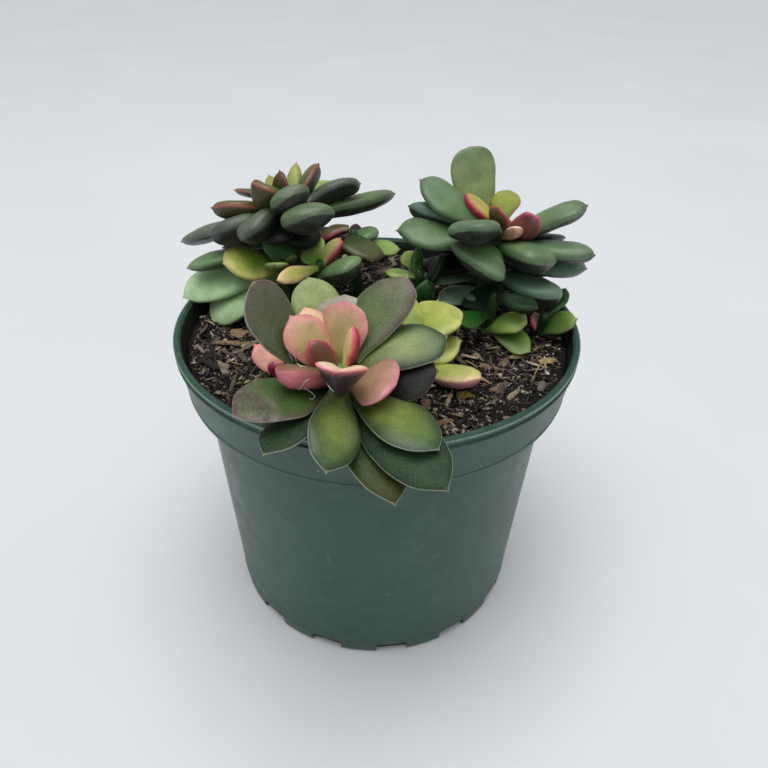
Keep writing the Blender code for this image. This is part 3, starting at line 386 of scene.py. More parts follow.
# ------------------------------------------------------------------ looks
# Display colours of a leaf: upper face at the root, middle and tip; broad tint
# along the margin with its strength and width in mm; underside at root and
# tip; strength of the pale margin line; speckle; waxy bloom; one-sidedness of
# the margin tint (-1 left, +1 right, 0 both).
LOOKS = {
    # front rosette
    # green: the dark margin tint, which leaves the middle brighter, is painted shade and a painted highlight of the top
    # light on the convex faces
    "green": ((96, 108, 52), (126, 142, 72), (90, 114, 60), (38, 66, 40), 0.90, 2.8, (38, 50, 36), (56, 72, 52), 0.95, 0.70, 0.10, 0),
    "dusty": ((30, 48, 28), (42, 66, 40), (50, 70, 48), (38, 58, 40), 0.6, 2.0, (22, 30, 24), (38, 46, 36), 0.90, 0.85, 0.08, 0),
    "olive_tip": ((36, 56, 28), (54, 78, 38), (74, 78, 42), (54, 64, 38), 0.6, 1.6, (28, 38, 24), (62, 50, 36), 1.00, 0.80, 0.00, 0),
    "violet": ((84, 102, 64), (86, 98, 74), (94, 92, 82), (122, 74, 86), 0.60, 1.0, (50, 42, 40), (84, 62, 66), 0.80, 0.95, 0.20, 0.9),
    "violet_tip": ((66, 96, 44), (92, 114, 68), (108, 102, 84), (92, 66, 72), 0.70, 2.2, (60, 42, 44), (94, 68, 70), 0.80, 1.00, 0.20, 0.7),
    "pale_olive": ((104, 124, 56), (132, 146, 78), (146, 160, 98), (120, 140, 82), 0.5, 1.6, (80, 100, 56), (104, 122, 74), 0.50, 0.85, 0.10, 0),
    "grey_green": ((100, 114, 72), (132, 138, 108), (164, 164, 146), (158, 156, 140), 0.5, 1.4, (70, 74, 58), (100, 100, 84), 0.50, 0.85, 0.25, 0),
    "damaged": ((42, 68, 32), (66, 94, 50), (86, 90, 64), (112, 82, 84), 0.50, 1.3, (44, 50, 38), (88, 62, 60), 0.70, 0.80, 0.08, 0),
    "shade": ((10, 18, 10), (16, 28, 18), (24, 36, 26), (74, 42, 56), 0.40, 1.0, (10, 12, 11), (24, 19, 21), 0.30, 0.50, 0.00, 0),
    "pink": ((142, 144, 74), (184, 166, 112), (214, 168, 148), (218, 134, 146), 0.85, 1.7, (140, 60, 70), (205, 110, 125), 0.30, 0.35, 0.05, 0),
    "pink_full": ((116, 116, 64), (182, 144, 116), (218, 158, 154), (204, 112, 132), 0.6, 1.0, (92, 34, 48), (176, 80, 100), 0.25, 0.30, 0.05, 0),
    "cream_pink": ((234, 220, 148), (252, 236, 192), (252, 214, 198), (240, 130, 154), 0.85, 0.8, (24, 4, 10), (48, 14, 24), 0.30, 0.25, 0.0, 0),
    "crimson_low": ((82, 86, 48), (100, 98, 62), (156, 108, 96), (196, 96, 118), 0.65, 0.9, (88, 60, 60), (222, 128, 146), 0.20, 0.25, 0.0, 0),
    "olive_crimson": ((78, 74, 42), (92, 62, 46), (118, 70, 58), (206, 84, 116), 0.95, 0.75, (104, 34, 52), (188, 68, 96), 0.15, 0.30, 0.0, 0),
    "half_crimson": ((204, 202, 122), (236, 224, 164), (244, 202, 174), (212, 62, 106), 0.98, 1.0, (86, 28, 44), (152, 52, 76), 0.15, 0.20, 0.0, 1),
    "yellow_pink": ((198, 204, 112), (224, 216, 146), (234, 202, 160), (234, 170, 160), 0.6, 0.8, (160, 140, 90), (215, 140, 130), 0.20, 0.20, 0.0, 0),
    "coral": ((186, 156, 108), (224, 164, 142), (234, 166, 154), (228, 130, 142), 0.6, 0.9, (112, 20, 52), (150, 30, 78), 0.20, 0.25, 0.0, 0),
    # offsets in the middle
    "lime": ((128, 158, 64), (170, 182, 88), (194, 198, 112), (206, 206, 134), 0.6, 1.2, (96, 122, 50), (142, 158, 78), 0.45, 0.25, 0.05, 0),
    # lime_pink's pale underside is lighter than its own colour: painted light on an underside in shade
    "lime_pink": ((136, 158, 72), (188, 196, 104), (224, 208, 146), (240, 190, 162), 0.7, 0.9, (252, 188, 166), (255, 168, 188), 0.45, 0.25, 0.05, 0),
    "leaf_green": ((26, 60, 14), (46, 94, 28), (64, 114, 40), (76, 126, 48), 0.4, 0.8, (24, 50, 16), (46, 84, 30), 0.20, 0.20, 0.0, 0),
    "leaf_deep": ((8, 38, 8), (14, 56, 18), (24, 64, 26), (34, 72, 32), 0.4, 0.8, (5, 32, 5), (12, 48, 14), 0.12, 0.20, 0.0, 0),
    "leaf_mid": ((56, 92, 34), (92, 128, 60), (120, 146, 76), (138, 158, 88), 0.5, 0.9, (38, 68, 24), (72, 98, 44), 0.25, 0.20, 0.0, 0),
    "fresh": ((80, 120, 46), (132, 166, 82), (160, 184, 102), (174, 188, 110), 0.5, 0.9, (46, 76, 30), (86, 110, 54), 0.30, 0.20, 0.0, 0),
    "fresh_crimson": ((128, 150, 74), (190, 196, 118), (222, 198, 140), (198, 76, 100), 0.95, 0.9, (138, 72, 70), (210, 100, 112), 0.20, 0.20, 0.0, 1),
    "brown_green": ((44, 58, 30), (70, 82, 46), (82, 86, 52), (92, 62, 50), 0.75, 1.2, (40, 38, 28), (70, 52, 44), 0.15, 0.40, 0.05, -0.8),
    # left rosette
    "dusk": ((58, 74, 54), (96, 112, 90), (98, 106, 94), (66, 68, 68), 0.6, 1.2, (6, 5, 15), (17, 15, 32), 0.06, 0.40, 0.25, 0),
    "dusk_green": ((60, 86, 46), (94, 122, 76), (102, 122, 92), (66, 80, 64), 0.6, 1.2, (5, 8, 10), (11, 13, 18), 0.06, 0.40, 0.20, 0),
    # gloom: near-black leaves, painted shade in the gaps between the rosettes
    "gloom": ((22, 28, 26), (30, 38, 34), (38, 46, 42), (34, 38, 38), 0.3, 1.0, (12, 12, 16), (20, 20, 26), 0.00, 0.20, 0.0, 0),
    "olive_orange": ((66, 84, 42), (88, 98, 54), (112, 94, 60), (164, 82, 82), 0.8, 0.5, (56, 64, 36), (72, 68, 46), 0.06, 0.30, 0.05, 0),
    "bright": ((50, 90, 26), (116, 152, 60), (202, 204, 112), (204, 200, 120), 0.85, 2.2, (70, 92, 40), (130, 120, 70), 0.35, 0.20, 0.05, 0),
    # sage_pale is lighter than the leaves' own colour: painted light on low leaves in the upper leaves' shade
    "sage_pale": ((132, 176, 114), (178, 212, 158), (188, 216, 168), (160, 198, 146), 0.4, 1.8, (52, 72, 50), (76, 98, 72), 0.30, 0.45, 0.25, 0),
    "sage_dark": ((64, 100, 52), (102, 138, 90), (112, 142, 100), (84, 114, 76), 0.4, 1.4, (18, 38, 14), (34, 52, 30), 0.12, 0.45, 0.25, 0),
    "crimson_back": ((90, 92, 58), (108, 98, 64), (122, 72, 70), (152, 62, 86), 0.9, 0.8, (52, 28, 34), (112, 46, 62), 0.15, 0.30, 0.05, 0),
    "yellow_green": ((114, 134, 54), (152, 160, 82), (166, 164, 96), (164, 154, 94), 0.4, 0.7, (110, 120, 56), (150, 146, 76), 0.15, 0.15, 0.0, 0),
    # right rosette
    "sage": ((80, 112, 60), (104, 132, 93), (106, 130, 99), (70, 94, 70), 0.5, 1.4, (7, 6, 13), (25, 22, 34), 0.08, 0.45, 0.28, 0),
    "sage_upright": ((130, 150, 76), (126, 148, 97), (118, 142, 104), (96, 118, 86), 0.4, 0.9, (60, 54, 52), (80, 72, 72), 0.25, 0.45, 0.28, 0),
    "deep": ((58, 86, 64), (100, 130, 110), (112, 138, 122), (96, 120, 110), 0.4, 1.2, (10, 14, 20), (26, 24, 42), 0.10, 0.40, 0.20, 0),
    "heart_lime": ((100, 130, 42), (140, 152, 62), (160, 164, 80), (188, 114, 98), 0.75, 0.45, (120, 110, 56), (180, 92, 90), 0.15, 0.15, 0.0, 0),
    "heart_crimson": ((140, 158, 66), (190, 188, 100), (206, 184, 110), (190, 50, 86), 0.98, 1.0, (110, 30, 52), (180, 54, 86), 0.10, 0.15, 0.0, -1),
    "heart_olive": ((82, 104, 40), (110, 120, 54), (132, 114, 66), (196, 78, 98), 0.9, 0.45, (66, 66, 34), (92, 70, 44), 0.10, 0.20, 0.0, 0),
    "heart_dark": ((176, 176, 128), (222, 196, 172), (244, 178, 176), (250, 124, 156), 0.95, 0.75, (110, 76, 70), (136, 78, 84), 0.10, 0.20, 0.0, 0),
    "heart_cream": ((255, 250, 196), (255, 250, 218), (255, 236, 214), (248, 170, 178), 0.6, 0.4, (216, 196, 150), (228, 172, 154), 0.15, 0.15, 0.0, 0),
}

# Which look each leaf takes, and how plump and how pointed it is.
LEAF_LOOKS = {
    "front_leaf_pink_left": ("pink", 0.2, 0.7), "front_leaf_pink_back": ("pink", 0.2, 0.3),
    "front_leaf_pink_near": ("cream_pink", 0.3, 0.5), "front_leaf_pink_right": ("pink_full", 0.3, 0.3),
    "front_leaf_pink_low": ("crimson_low", 0.3, 0.8), "front_leaf_right": ("green", 0.2, 0.5),
    "front_leaf_near_right": ("green", 0.1, 0.5), "front_leaf_near": ("green", 0.1, 0.9),
    "front_leaf_near_left": ("damaged", 0.3, 0.6), "front_leaf_back_right": ("violet_tip", 0.1, 1.0),
    "front_leaf_back_left": ("violet", 0.1, 0.2), "front_leaf_back": ("grey_green", 0.1, 0.2),
    "front_leaf_low_side": ("shade", 0.1, 0.8), "front_leaf_low_right": ("dusty", 0.1, 0.7),
    "front_leaf_low": ("olive_tip", 0.1, 0.9), "front_leaf_low_left": ("dusty", 0.1, 0.9),
    "left_leaf_upper_near": ("dusk_green", 0.9, 0.2), "left_leaf_upper_left": ("olive_orange", 0.6, 0.8),
    "left_leaf_near_right": ("dusk_green", 1.0, 0.1), "left_leaf_near_left": ("dusk", 1.0, 0.1),
    "left_leaf_back_right": ("dusk", 0.8, 0.5), "left_leaf_right": ("dusk_green", 0.7, 0.7),
    "left_leaf_left": ("dusk", 0.8, 0.5), "left_leaf_far_left": ("dusk", 0.6, 0.8),
    "left_leaf_bright": ("bright", 0.3, 0.6), "left_leaf_lower_left": ("sage_dark", 0.4, 0.6),
    "left_leaf_low_left": ("sage_pale", 0.3, 0.6), "left_leaf_lowest": ("sage_pale", 0.3, 0.7),
    "right_leaf_upright": ("sage_upright", 0.3, 0.0), "right_leaf_near_left": ("sage", 1.0, 0.1),
    "right_leaf_upper_left": ("sage", 0.5, 0.6), "right_leaf_upper_right": ("sage", 0.6, 0.8),
    "right_leaf_near_right": ("sage", 0.9, 0.2), "right_leaf_left": ("sage", 0.6, 0.9),
    "right_leaf_back_left": ("deep", 0.5, 0.6), "right_leaf_near": ("sage", 1.0, 0.2),
    "right_leaf_right": ("sage", 0.8, 0.5), "right_leaf_low_right": ("deep", 0.5, 0.5),
    "right_leaf_lower_near": ("deep", 0.9, 0.4), "right_leaf_lower_left": ("deep", 0.5, 0.5),
}

# ------------------------------------------------------------------ the plant's own sizes (mm, as in the model)
POT_HEIGHT, RIM_RADIUS, BAND_TOP_RADIUS, BAND_FOOT_RADIUS = 88.0, 54.0, 53.5, 51.8
BAND_HEIGHT, BODY_TOP_RADIUS, BASE_RADIUS, WALL, FLOOR = 14.9, 47.7, 43.4, 1.4, 1.5
LIP_HEIGHT = 3.4
SLOT_COUNT, SLOT_WIDTH, SLOT_HEIGHT, SLOT_FIRST = 14, 9.0, 3.5, -82.0
SOIL_EDGE, SOIL_MIDDLE, SOIL_BUMP = 82.0, 83.4, 0.7
STEM_RADIUS, STEM_CROWN_RADIUS, OFFSET_STEM_RADIUS, STEM_DEPTH = 2.6, 3.1, 1.5, 6.0

# outline: root share, widest place, full, blunt, share of the thickness above
# the margin, and how far the underside is keeled
OUTLINES = {
    "oval": (0.40, 0.60, 2.0, 1.75, 0.30, 0.4),
    "blunt": (0.46, 0.66, 3.2, 2.4, 0.34, 0.4),
    "narrow": (0.50, 0.50, 1.8, 1.4, 0.34, 0.4),
    "round": (0.38, 0.62, 2.5, 2.0, 0.28, 0.3),
    "plump": (0.50, 0.60, 2.2, 1.75, 0.42, 0.5),
    "stub": (0.55, 0.64, 2.8, 2.3, 0.42, 0.5),
    "wedge": (0.34, 0.62, 2.6, 1.8, 0.14, 1.0),
}
STEMS = {
    "front": ((-7, -31, 82), (-8, -42, 100)),
    "left": ((-23, 20, 81), (-24, 16, 114)),
    "right": ((31, 17, 81), (32.5, 12.5, 111)),
}
FRONT_LEAVES = [
    ("front_leaf_pink_left", 16.5, 2.0, 155, 50, 15.0, 10.5, 4.5, -10, 25, 0, "oval"),
    ("front_leaf_pink_back", 17.5, 2.0, 80, 60, 14.5, 12.0, 4.0, -10, 15, -0.1, "round"),
    ("front_leaf_pink_near", 19.0, 2.0, -77, 35, 15.5, 10.0, 7.5, -45, 15, 0.5, "wedge"),
    ("front_leaf_pink_right", 16.0, 3.5, -32, 20, 12.0, 13.5, 3.5, -5, -20, 0.1, "oval"),
    ("front_leaf_pink_low", 15.5, 3.0, -135, 33, 15.5, 8.0, 5.5, -30, -15, 0.1, "oval"),
    ("front_leaf_right", 17.5, 4.0, 19, 18, 21.0, 12.0, 4.5, -15, -20, 0.3, "oval"),
    ("front_leaf_near_right", 12.0, 3.0, -46, 0, 27.5, 13.5, 4.5, -10, 0, 0.1, "oval"),
    ("front_leaf_near", 14.0, 4.0, -91, -7, 24.0, 11.5, 4.5, -25, 25, 0.1, "oval"),
    ("front_leaf_near_left", 12.0, 3.5, -134, 12, 25.0, 14.0, 4.0, -30, 10, 0.1, "oval"),
    ("front_leaf_back_right", 19.5, 4.0, 54, 42, 22.5, 13.0, 4.0, 15, -5, 0.4, "oval"),
    ("front_leaf_back_left", 14.5, 5.5, 165, 57, 24.5, 14.0, 3.5, 25, 10, 0, "round"),
    ("front_leaf_back", 18.5, 3.5, 87, 42, 15.5, 13.0, 3.5, 10, 0, 0, "round"),
    ("front_leaf_low_side", 13.5, 4.0, -8, 14, 18.0, 13.0, 4.0, 0, -30, -0.1, "oval"),
    ("front_leaf_low_right", 10.5, 3.5, -53, -6, 34.0, 14.5, 4.5, -20, -15, 0, "oval"),
    ("front_leaf_low", 7.0, 2.0, -71, -9, 32.0, 12.5, 4.5, -30, 0, -0.2, "oval"),
    ("front_leaf_low_left", 11.0, 4.0, -117, 2, 25.0, 10.5, 4.0, -20, -5, 0.1, "oval"),
]
LEFT_LEAVES = [
    ("left_leaf_upper_near", 33.5, 3.0, -83, 33, 9.5, 11.0, 7.0, -5, -25, 0, "stub"),
    ("left_leaf_upper_left", 31.0, 5.0, -168, 6, 16.0, 8.5, 5.5, 5, -33, 0.1, "plump"),
    ("left_leaf_near_right", 29.5, 4.5, -69, 24, 15.0, 12.5, 8.0, 5, -5, -0.3, "stub"),
    ("left_leaf_near_left", 32.0, 5.0, -130, -20, 13.0, 9.5, 7.0, -20, -30, 0.1, "stub"),
    ("left_leaf_back_right", 31.5, 4.0, 26, 13, 16.5, 10.5, 5.5, -25, 35, 0.1, "plump"),
    ("left_leaf_right", 28.5, 3.5, 26, 4, 28.0, 10.0, 5.5, -5, 12, -0.2, "plump"),
    ("left_leaf_left", 27.0, 4.0, -156, 0, 19.0, 11.0, 7.5, -15, -38, 0.2, "plump"),
    ("left_leaf_far_left", 25.0, 5.0, 180, -10, 28.0, 12.5, 5.0, -30, -10, 0.1, "plump"),
    ("left_leaf_bright", 16.5, 4.0, -140, 10, 19.0, 12.5, 4.5, 5, 25, 0.1, "plump"),
    ("left_leaf_lower_left", 17.0, 4.5, -161, -1, 26.0, 11.5, 5.0, -30, -15, 0, "plump"),
    ("left_leaf_low_left", 12.5, 4.5, -160, -12, 29.0, 14.0, 5.0, -45, 13, 0.3, "plump"),
    ("left_leaf_lowest", 11.5, 5.0, -149, -24, 24.5, 14.5, 5.0, -45, 10, 0, "plump"),
]
RIGHT_LEAVES = [
    ("right_leaf_upright", 27.5, 5.0, 122, 57, 21.5, 13.5, 4.0, 25, 7, 0.1, "blunt"),
    ("right_leaf_near_left", 28.0, 4.0, -126, 20, 17.0, 12.5, 6.5, -20, -17, 0, "stub"),
    ("right_leaf_upper_left", 29.5, 5.0, 169, 28, 20.0, 13.5, 5.0, 10, 10, 0.2, "plump"),
    ("right_leaf_upper_right", 26.0, 4.0, -10, 31, 20.5, 11.0, 6.0, -10, 0, 0.1, "plump"),
    ("right_leaf_near_right", 23.5, 4.0, -56, 6, 15.5, 12.0, 7.5, -20, 10, 0, "stub"),
    ("right_leaf_left", 24.0, 4.0, -172, 9, 24.0, 13.5, 5.5, -15, 12, 0.1, "plump"),
    ("right_leaf_back_left", 27.5, 4.5, 169, 13, 21.0, 8.5, 6.5, 0, -20, 0, "plump"),
    ("right_leaf_near", 23.5, 5.0, -120, 5, 13.5, 16.5, 6.0, -5, 15, -0.2, "stub"),
    ("right_leaf_right", 23.0, 3.5, -28, 7, 23.0, 10.0, 6.0, -10, 0, -0.2, "plump"),
    ("right_leaf_low_right", 19.0, 4.5, -17, 1, 21.0, 9.0, 5.5, -15, -25, -0.1, "plump"),
    ("right_leaf_lower_near", 14.5, 4.0, -50, 3, 19.5, 11.5, 6.5, -5, 7, -0.2, "plump"),
    ("right_leaf_lower_left", 13.0, 5.0, -174, -3, 14.5, 9.0, 3.0, -5, 0, 0.1, "plump"),
]
# Clusters: name, plant or foot and end, core, leaves with their look, how
# plump and how pointed.
WHORLS = [
    ("front_whorl_back", "front", 6.0, 14.0, [
        ((14.5, 3.5, 112, 42, 22.5, 12.0, 4.0, 5, 5, -0.1, "round"), "pale_olive", 0.1, 0.2),
        ((10.0, 3.0, 75, 8, 18.0, 12.0, 4.5, -10, 0, 0, "oval"), "sage_dark", 0.3, 0.6),
        ((9.5, 3.0, 120, 5, 18.0, 12.0, 4.5, -10, -5, 0, "oval"), "sage_dark", 0.3, 0.6),
    ]),
    ("left_whorl_back", "left", 6.0, 29.5, [
        ((24.0, 3.5, 70, 0, 21.5, 12.0, 4.5, -20, 0, 0, "oval"), "sage_dark", 0.6, 0.6),
        ((20.5, 3.0, 146, -3, 21.5, 12.0, 5.0, -10, -13, 0, "oval"), "dusk_green", 0.6, 0.6),
        ((14.5, 3.5, 118, -10, 21.0, 11.5, 4.5, -12, 0, 0, "oval"), "sage_pale", 0.4, 0.6),
        ((14.0, 3.0, 155, -12, 23.0, 12.5, 4.5, -15, 0, 0, "oval"), "sage_pale", 0.4, 0.6),
        ((8.5, 3.0, 78, -10, 22.0, 12.5, 3.5, -15, 15, 0, "oval"), "sage_dark", 0.4, 0.6),
        ((21.0, 3.5, -176, -6, 17.0, 11.0, 4.5, -15, 0, 0, "oval"), "dusk", 0.6, 0.4),
        ((23.0, 3.0, 12, -8, 16.0, 10.0, 4.5, -15, 0, 0, "oval"), "dusk", 0.6, 0.4),
        ((28.5, 3.5, -115, -18, 9.0, 10.0, 5.0, -10, 0, 0, "oval"), "gloom", 0.6, 0.1),
        ((26.0, 3.0, -62, -14, 7.5, 10.0, 5.0, -10, 0, 0, "oval"), "gloom", 0.6, 0.1),
    ]),
    ("right_whorl_back", "right", 6.0, 26.0, [
        ((25.5, 3.0, 10, -4, 16.5, 8.5, 3.5, -15, 20, 0, "oval"), "sage", 0.6, 0.4),
        ((19.0, 3.5, 50, -8, 22.0, 11.0, 4.0, -20, 5, 0, "oval"), "sage", 0.6, 0.6),
        ((18.5, 3.0, 125, -4, 21.0, 12.0, 5.0, -12, -5, 0, "oval"), "sage_dark", 0.6, 0.6),
        ((12.5, 3.5, 92, -6, 22.0, 12.5, 4.5, -20, 0, 0, "oval"), "sage_dark", 0.5, 0.6),
        ((10.0, 3.0, 140, -14, 16.0, 12.0, 3.0, -20, 0, 0, "oval"), "deep", 0.5, 0.6),
        ((19.5, 3.0, -18, -5, 15.0, 11.0, 5.0, -10, 0, 0, "oval"), "deep", 0.6, 0.4),
        ((9.0, 3.0, -148, -2, 14.0, 10.0, 4.0, -10, 0, 0, "oval"), "deep", 0.4, 0.5),
        ((10.0, 3.0, -105, 3, 11.0, 11.0, 4.0, -10, 0, 0, "oval"), "deep", 0.4, 0.5),
        ((17.0, 3.5, 178, -6, 17.0, 11.0, 4.0, -10, 0, 0, "oval"), "gloom", 0.5, 0.4),
        ((21.0, 3.5, 158, -2, 17.0, 11.0, 4.0, -10, 0, 0, "oval"), "gloom", 0.5, 0.4),
    ]),
]
HEARTS = [
    ("front_heart", "front", 16.0, 19.0, 2.2, [
        ((19.0, 1.5, 155, 48, 7.5, 6.0, 4.0, 0, 30, -0.1, "oval"), "olive_crimson", 0.4, 0.6),
        ((20.0, 2.5, 47, 72, 8.5, 5.0, 3.5, 0, 25, 0, "oval"), "half_crimson", 0.3, 1.0),
        ((17.0, 2.0, 128, 46, 15.0, 7.5, 3.0, -5, 10, -0.1, "round"), "yellow_pink", 0.2, 0.4),
    ]),
    ("left_heart", "left", 31.0, 34.0, 2.8, [
        ((34.0, 2.0, -125, 80, 8.5, 5.0, 5.0, 0, 20, -0.1, "narrow"), "olive_orange", 0.6, 1.0),
        ((33.5, 2.0, 87, 35, 11.5, 4.5, 4.0, 0, 0, 0, "narrow"), "yellow_green", 0.4, 1.0),
        ((32.0, 2.5, 55, 41, 12.5, 7.5, 5.0, -30, 37, -0.1, "narrow"), "olive_orange", 0.6, 1.0),
        ((33.0, 2.5, -145, 40, 11.0, 9.5, 7.5, -25, -8, -0.1, "oval"), "olive_orange", 0.7, 0.7),
        ((32.5, 3.0, 122, 14, 13.0, 5.0, 3.0, 20, -5, 0.2, "oval"), "yellow_green", 0.4, 0.8),
        ((33.5, 4.0, 154, -2, 14.5, 6.0, 3.0, -15, -8, 0, "oval"), "olive_orange", 0.5, 0.9),
        ((30.5, 3.5, 62, 10, 15.5, 7.0, 4.0, 0, -5, 0, "round"), "fresh", 0.4, 0.3),
    ]),
    ("right_heart", "right", 27.5, 31.0, 2.8, [
        ((31.0, 2.0, 77, 14, 12.5, 8.0, 4.5, -13, 0, 0, "oval"), "heart_lime", 0.4, 0.7),
        ((29.5, 2.5, 152, 38, 10.5, 8.5, 4.5, -10, -10, 0, "oval"), "heart_crimson", 0.4, 0.5),
        ((28.5, 1.5, -105, 65, 8.0, 7.0, 3.0, -5, 27, 0.2, "oval"), "heart_olive", 0.5, 0.8),
        ((30.5, 3.0, 75, 3, 10.0, 4.5, 3.5, 0, 0, 0, "oval"), "heart_lime", 0.4, 0.5),
        ((28.0, 3.0, -38, 29, 10.5, 8.5, 3.0, 10, 58, 0.5, "round"), "heart_dark", 0.6, 0.4),
        ((28.0, 3.5, -62, 33, 7.0, 4.5, 3.0, -5, 17, 0.2, "oval"), "heart_cream", 0.5, 0.5),
    ]),
]
OFFSETS = [
    ("left_offset_front", (-15, 8, 82), (-15.5, 5, 98), [
        ((19.0, 3.0, -130, 9, 12.5, 4.5, 3.0, 0, 50, -0.2, "oval"), "lime_pink", 0.4, 0.6),
        ((19.0, 3.0, 112, 18, 8.0, 8.0, 3.0, -5, 35, 0.2, "oval"), "fresh", 0.4, 0.4),
        ((20.0, 2.0, 56, 35, 7.5, 6.0, 4.0, -10, 20, 0.2, "oval"), "fresh_crimson", 0.4, 0.5),
        ((16.5, 2.0, -34, 31, 12.5, 9.0, 6.5, -25, -5, 0.1, "blunt"), "sage_dark", 0.8, 0.5),
    ]),
    ("left_offset_back", (-6, 19, 82), (-7, 16, 101), [
        ((24.5, 3.0, 175, -24, 7.0, 7.0, 3.5, -45, 5, 0, "oval"), "crimson_back", 0.4, 0.8),
        ((19.0, 1.5, 91, 13, 10.5, 4.5, 3.5, -5, -5, 0.1, "oval"), "crimson_back", 0.4, 0.6),
        ((21.0, 1.5, 50, 8, 8.0, 6.0, 4.0, -15, -5, 0, "oval"), "sage_dark", 0.4, 0.6),
        ((22.5, 1.5, -71, -9, 10.5, 11.0, 4.5, -25, 10, -0.3, "oval"), "brown_green", 0.5, 0.5),
        ((19.0, 2.0, 14, -6, 11.0, 8.0, 4.0, -10, -5, 0.1, "oval"), "fresh", 0.4, 0.6),
    ]),
    ("left_offset_near", (-25, 9, 82), (-26, 8, 97), [
        ((17.5, 2.0, 97, 60, 7.5, 11.0, 5.5, -5, -20, 0, "round"), "leaf_green", 0.4, 0.5),
        ((18.0, 1.5, -110, 24, 4.5, 7.0, 3.0, 5, -10, -0.2, "oval"), "fresh", 0.4, 0.7),
        ((17.5, 2.5, 66, 0, 4.5, 4.0, 3.0, 0, 45, -0.1, "narrow"), "fresh", 0.4, 0.9),
    ]),
    ("right_offset_front", (30, 1, 82), (30.5, -1, 92), [
        ((10.0, 2.0, 107, 9, 8.5, 12.5, 3.0, -18, 30, 0, "oval"), "leaf_deep", 0.3, 0.9),
        ((9.5, 3.0, -133, 15, 13.0, 6.0, 3.5, 30, 30, 0.1, "oval"), "leaf_green", 0.4, 0.7),
        ((15.0, 2.5, -34, 0, 9.5, 6.0, 4.5, 5, -13, 0, "oval"), "leaf_deep", 0.5, 0.4),
        ((2.5, 1.0, -37, 32, 12.0, 7.5, 4.5, -55, -25, 0, "blunt"), "fresh", 0.5, 0.3),
        ((4.0, 2.5, -40, -5, 12.0, 8.0, 3.0, 0, -16, 0.4, "oval"), "leaf_mid", 0.5, 0.6),
    ]),
    ("right_offset_side", (45, 2, 82), (45, 0, 88), [
        ((3.0, 1.0, 127, 62, 4.0, 4.5, 3.5, 0, -7, 0, "round"), "heart_dark", 0.5, 0.4),
        ((3.5, 1.5, -34, 40, 10.0, 7.0, 3.5, -30, -40, 0.2, "oval"), "leaf_mid", 0.4, 1.0),
        ((7.5, 1.5, 64, 35, 5.5, 5.5, 3.5, 0, -10, -0.1, "round"), "brown_green", 0.4, 0.4),
        ((8.5, 3.0, 53, 22, 9.0, 5.5, 3.0, -15, 0, 0, "oval"), "leaf_green", 0.4, 0.7),
    ]),
    ("right_offset_left", (11, 9, 82), (11, 8, 94), [
        ((12.5, 1.0, 100, 78, 9.5, 4.0, 3.0, 10, -35, 0.2, "oval"), "leaf_green", 0.6, 0.5),
        ((16.5, 2.5, 110, 4, 8.5, 5.5, 3.0, -8, 20, 0, "oval"), "fresh", 0.6, 0.5),
        ((11.0, 2.5, 20, 66, 10.0, 6.5, 3.5, -5, 10, 0, "oval"), "leaf_deep", 0.6, 0.5),
        ((14.5, 2.0, 172, 5, 7.5, 5.0, 3.0, -10, 0, 0, "oval"), "fresh", 0.5, 0.6),
        ((3.0, 2.0, -65, 78, 12.5, 7.0, 4.0, -10, 0, 0, "oval"), "leaf_green", 0.5, 0.6),
    ]),
    ("front_offset_right", (10, -15, 82), (10, -18, 95), [
        ((10.0, 2.0, 54, 18, 13.0, 15.0, 4.5, 15, 10, -0.2, "blunt"), "lime", 0.4, 0.4),
        ((12.5, 2.0, 110, 35, 11.0, 6.5, 4.0, 5, 0, 0.1, "narrow"), "lime", 0.3, 0.9),
        ((6.5, 1.0, 70, 17, 18.0, 5.0, 3.0, 5, 0, 0, "narrow"), "fresh", 0.3, 0.8),
        ((4.5, 1.5, 6, 17, 10.5, 8.5, 4.0, 25, -15, -0.2, "oval"), "lime", 0.3, 0.8),
        ((1.5, 2.5, -43, 17, 19.0, 10.0, 5.5, 5, 5, 0.1, "oval"), "lime_pink", 0.4, 0.5),
    ]),
    ("front_offset_left", (-21, -24, 82), (-22, -25, 86.5), [
        ((4.0, 1.5, 148, 28, 9.5, 6.5, 3.0, 5, 25, 0.1, "round"), "coral", 0.3, 0.8),
        ((4.5, 1.0, -150, 66, 4.5, 5.0, 3.0, 5, -45, 0, "round"), "coral", 0.5, 0.3),
    ]),
]
DULL = ("dusty", "shade", "olive_tip", "gloom", "leaf_deep")
YOUNG = ("pink", "pink_full", "cream_pink", "crimson_low", "olive_crimson", "half_crimson", "yellow_pink", "coral",
         "lime", "lime_pink", "fresh", "fresh_crimson", "bright", "yellow_green", "heart_lime", "heart_crimson",
         "heart_olive", "heart_dark", "heart_cream")


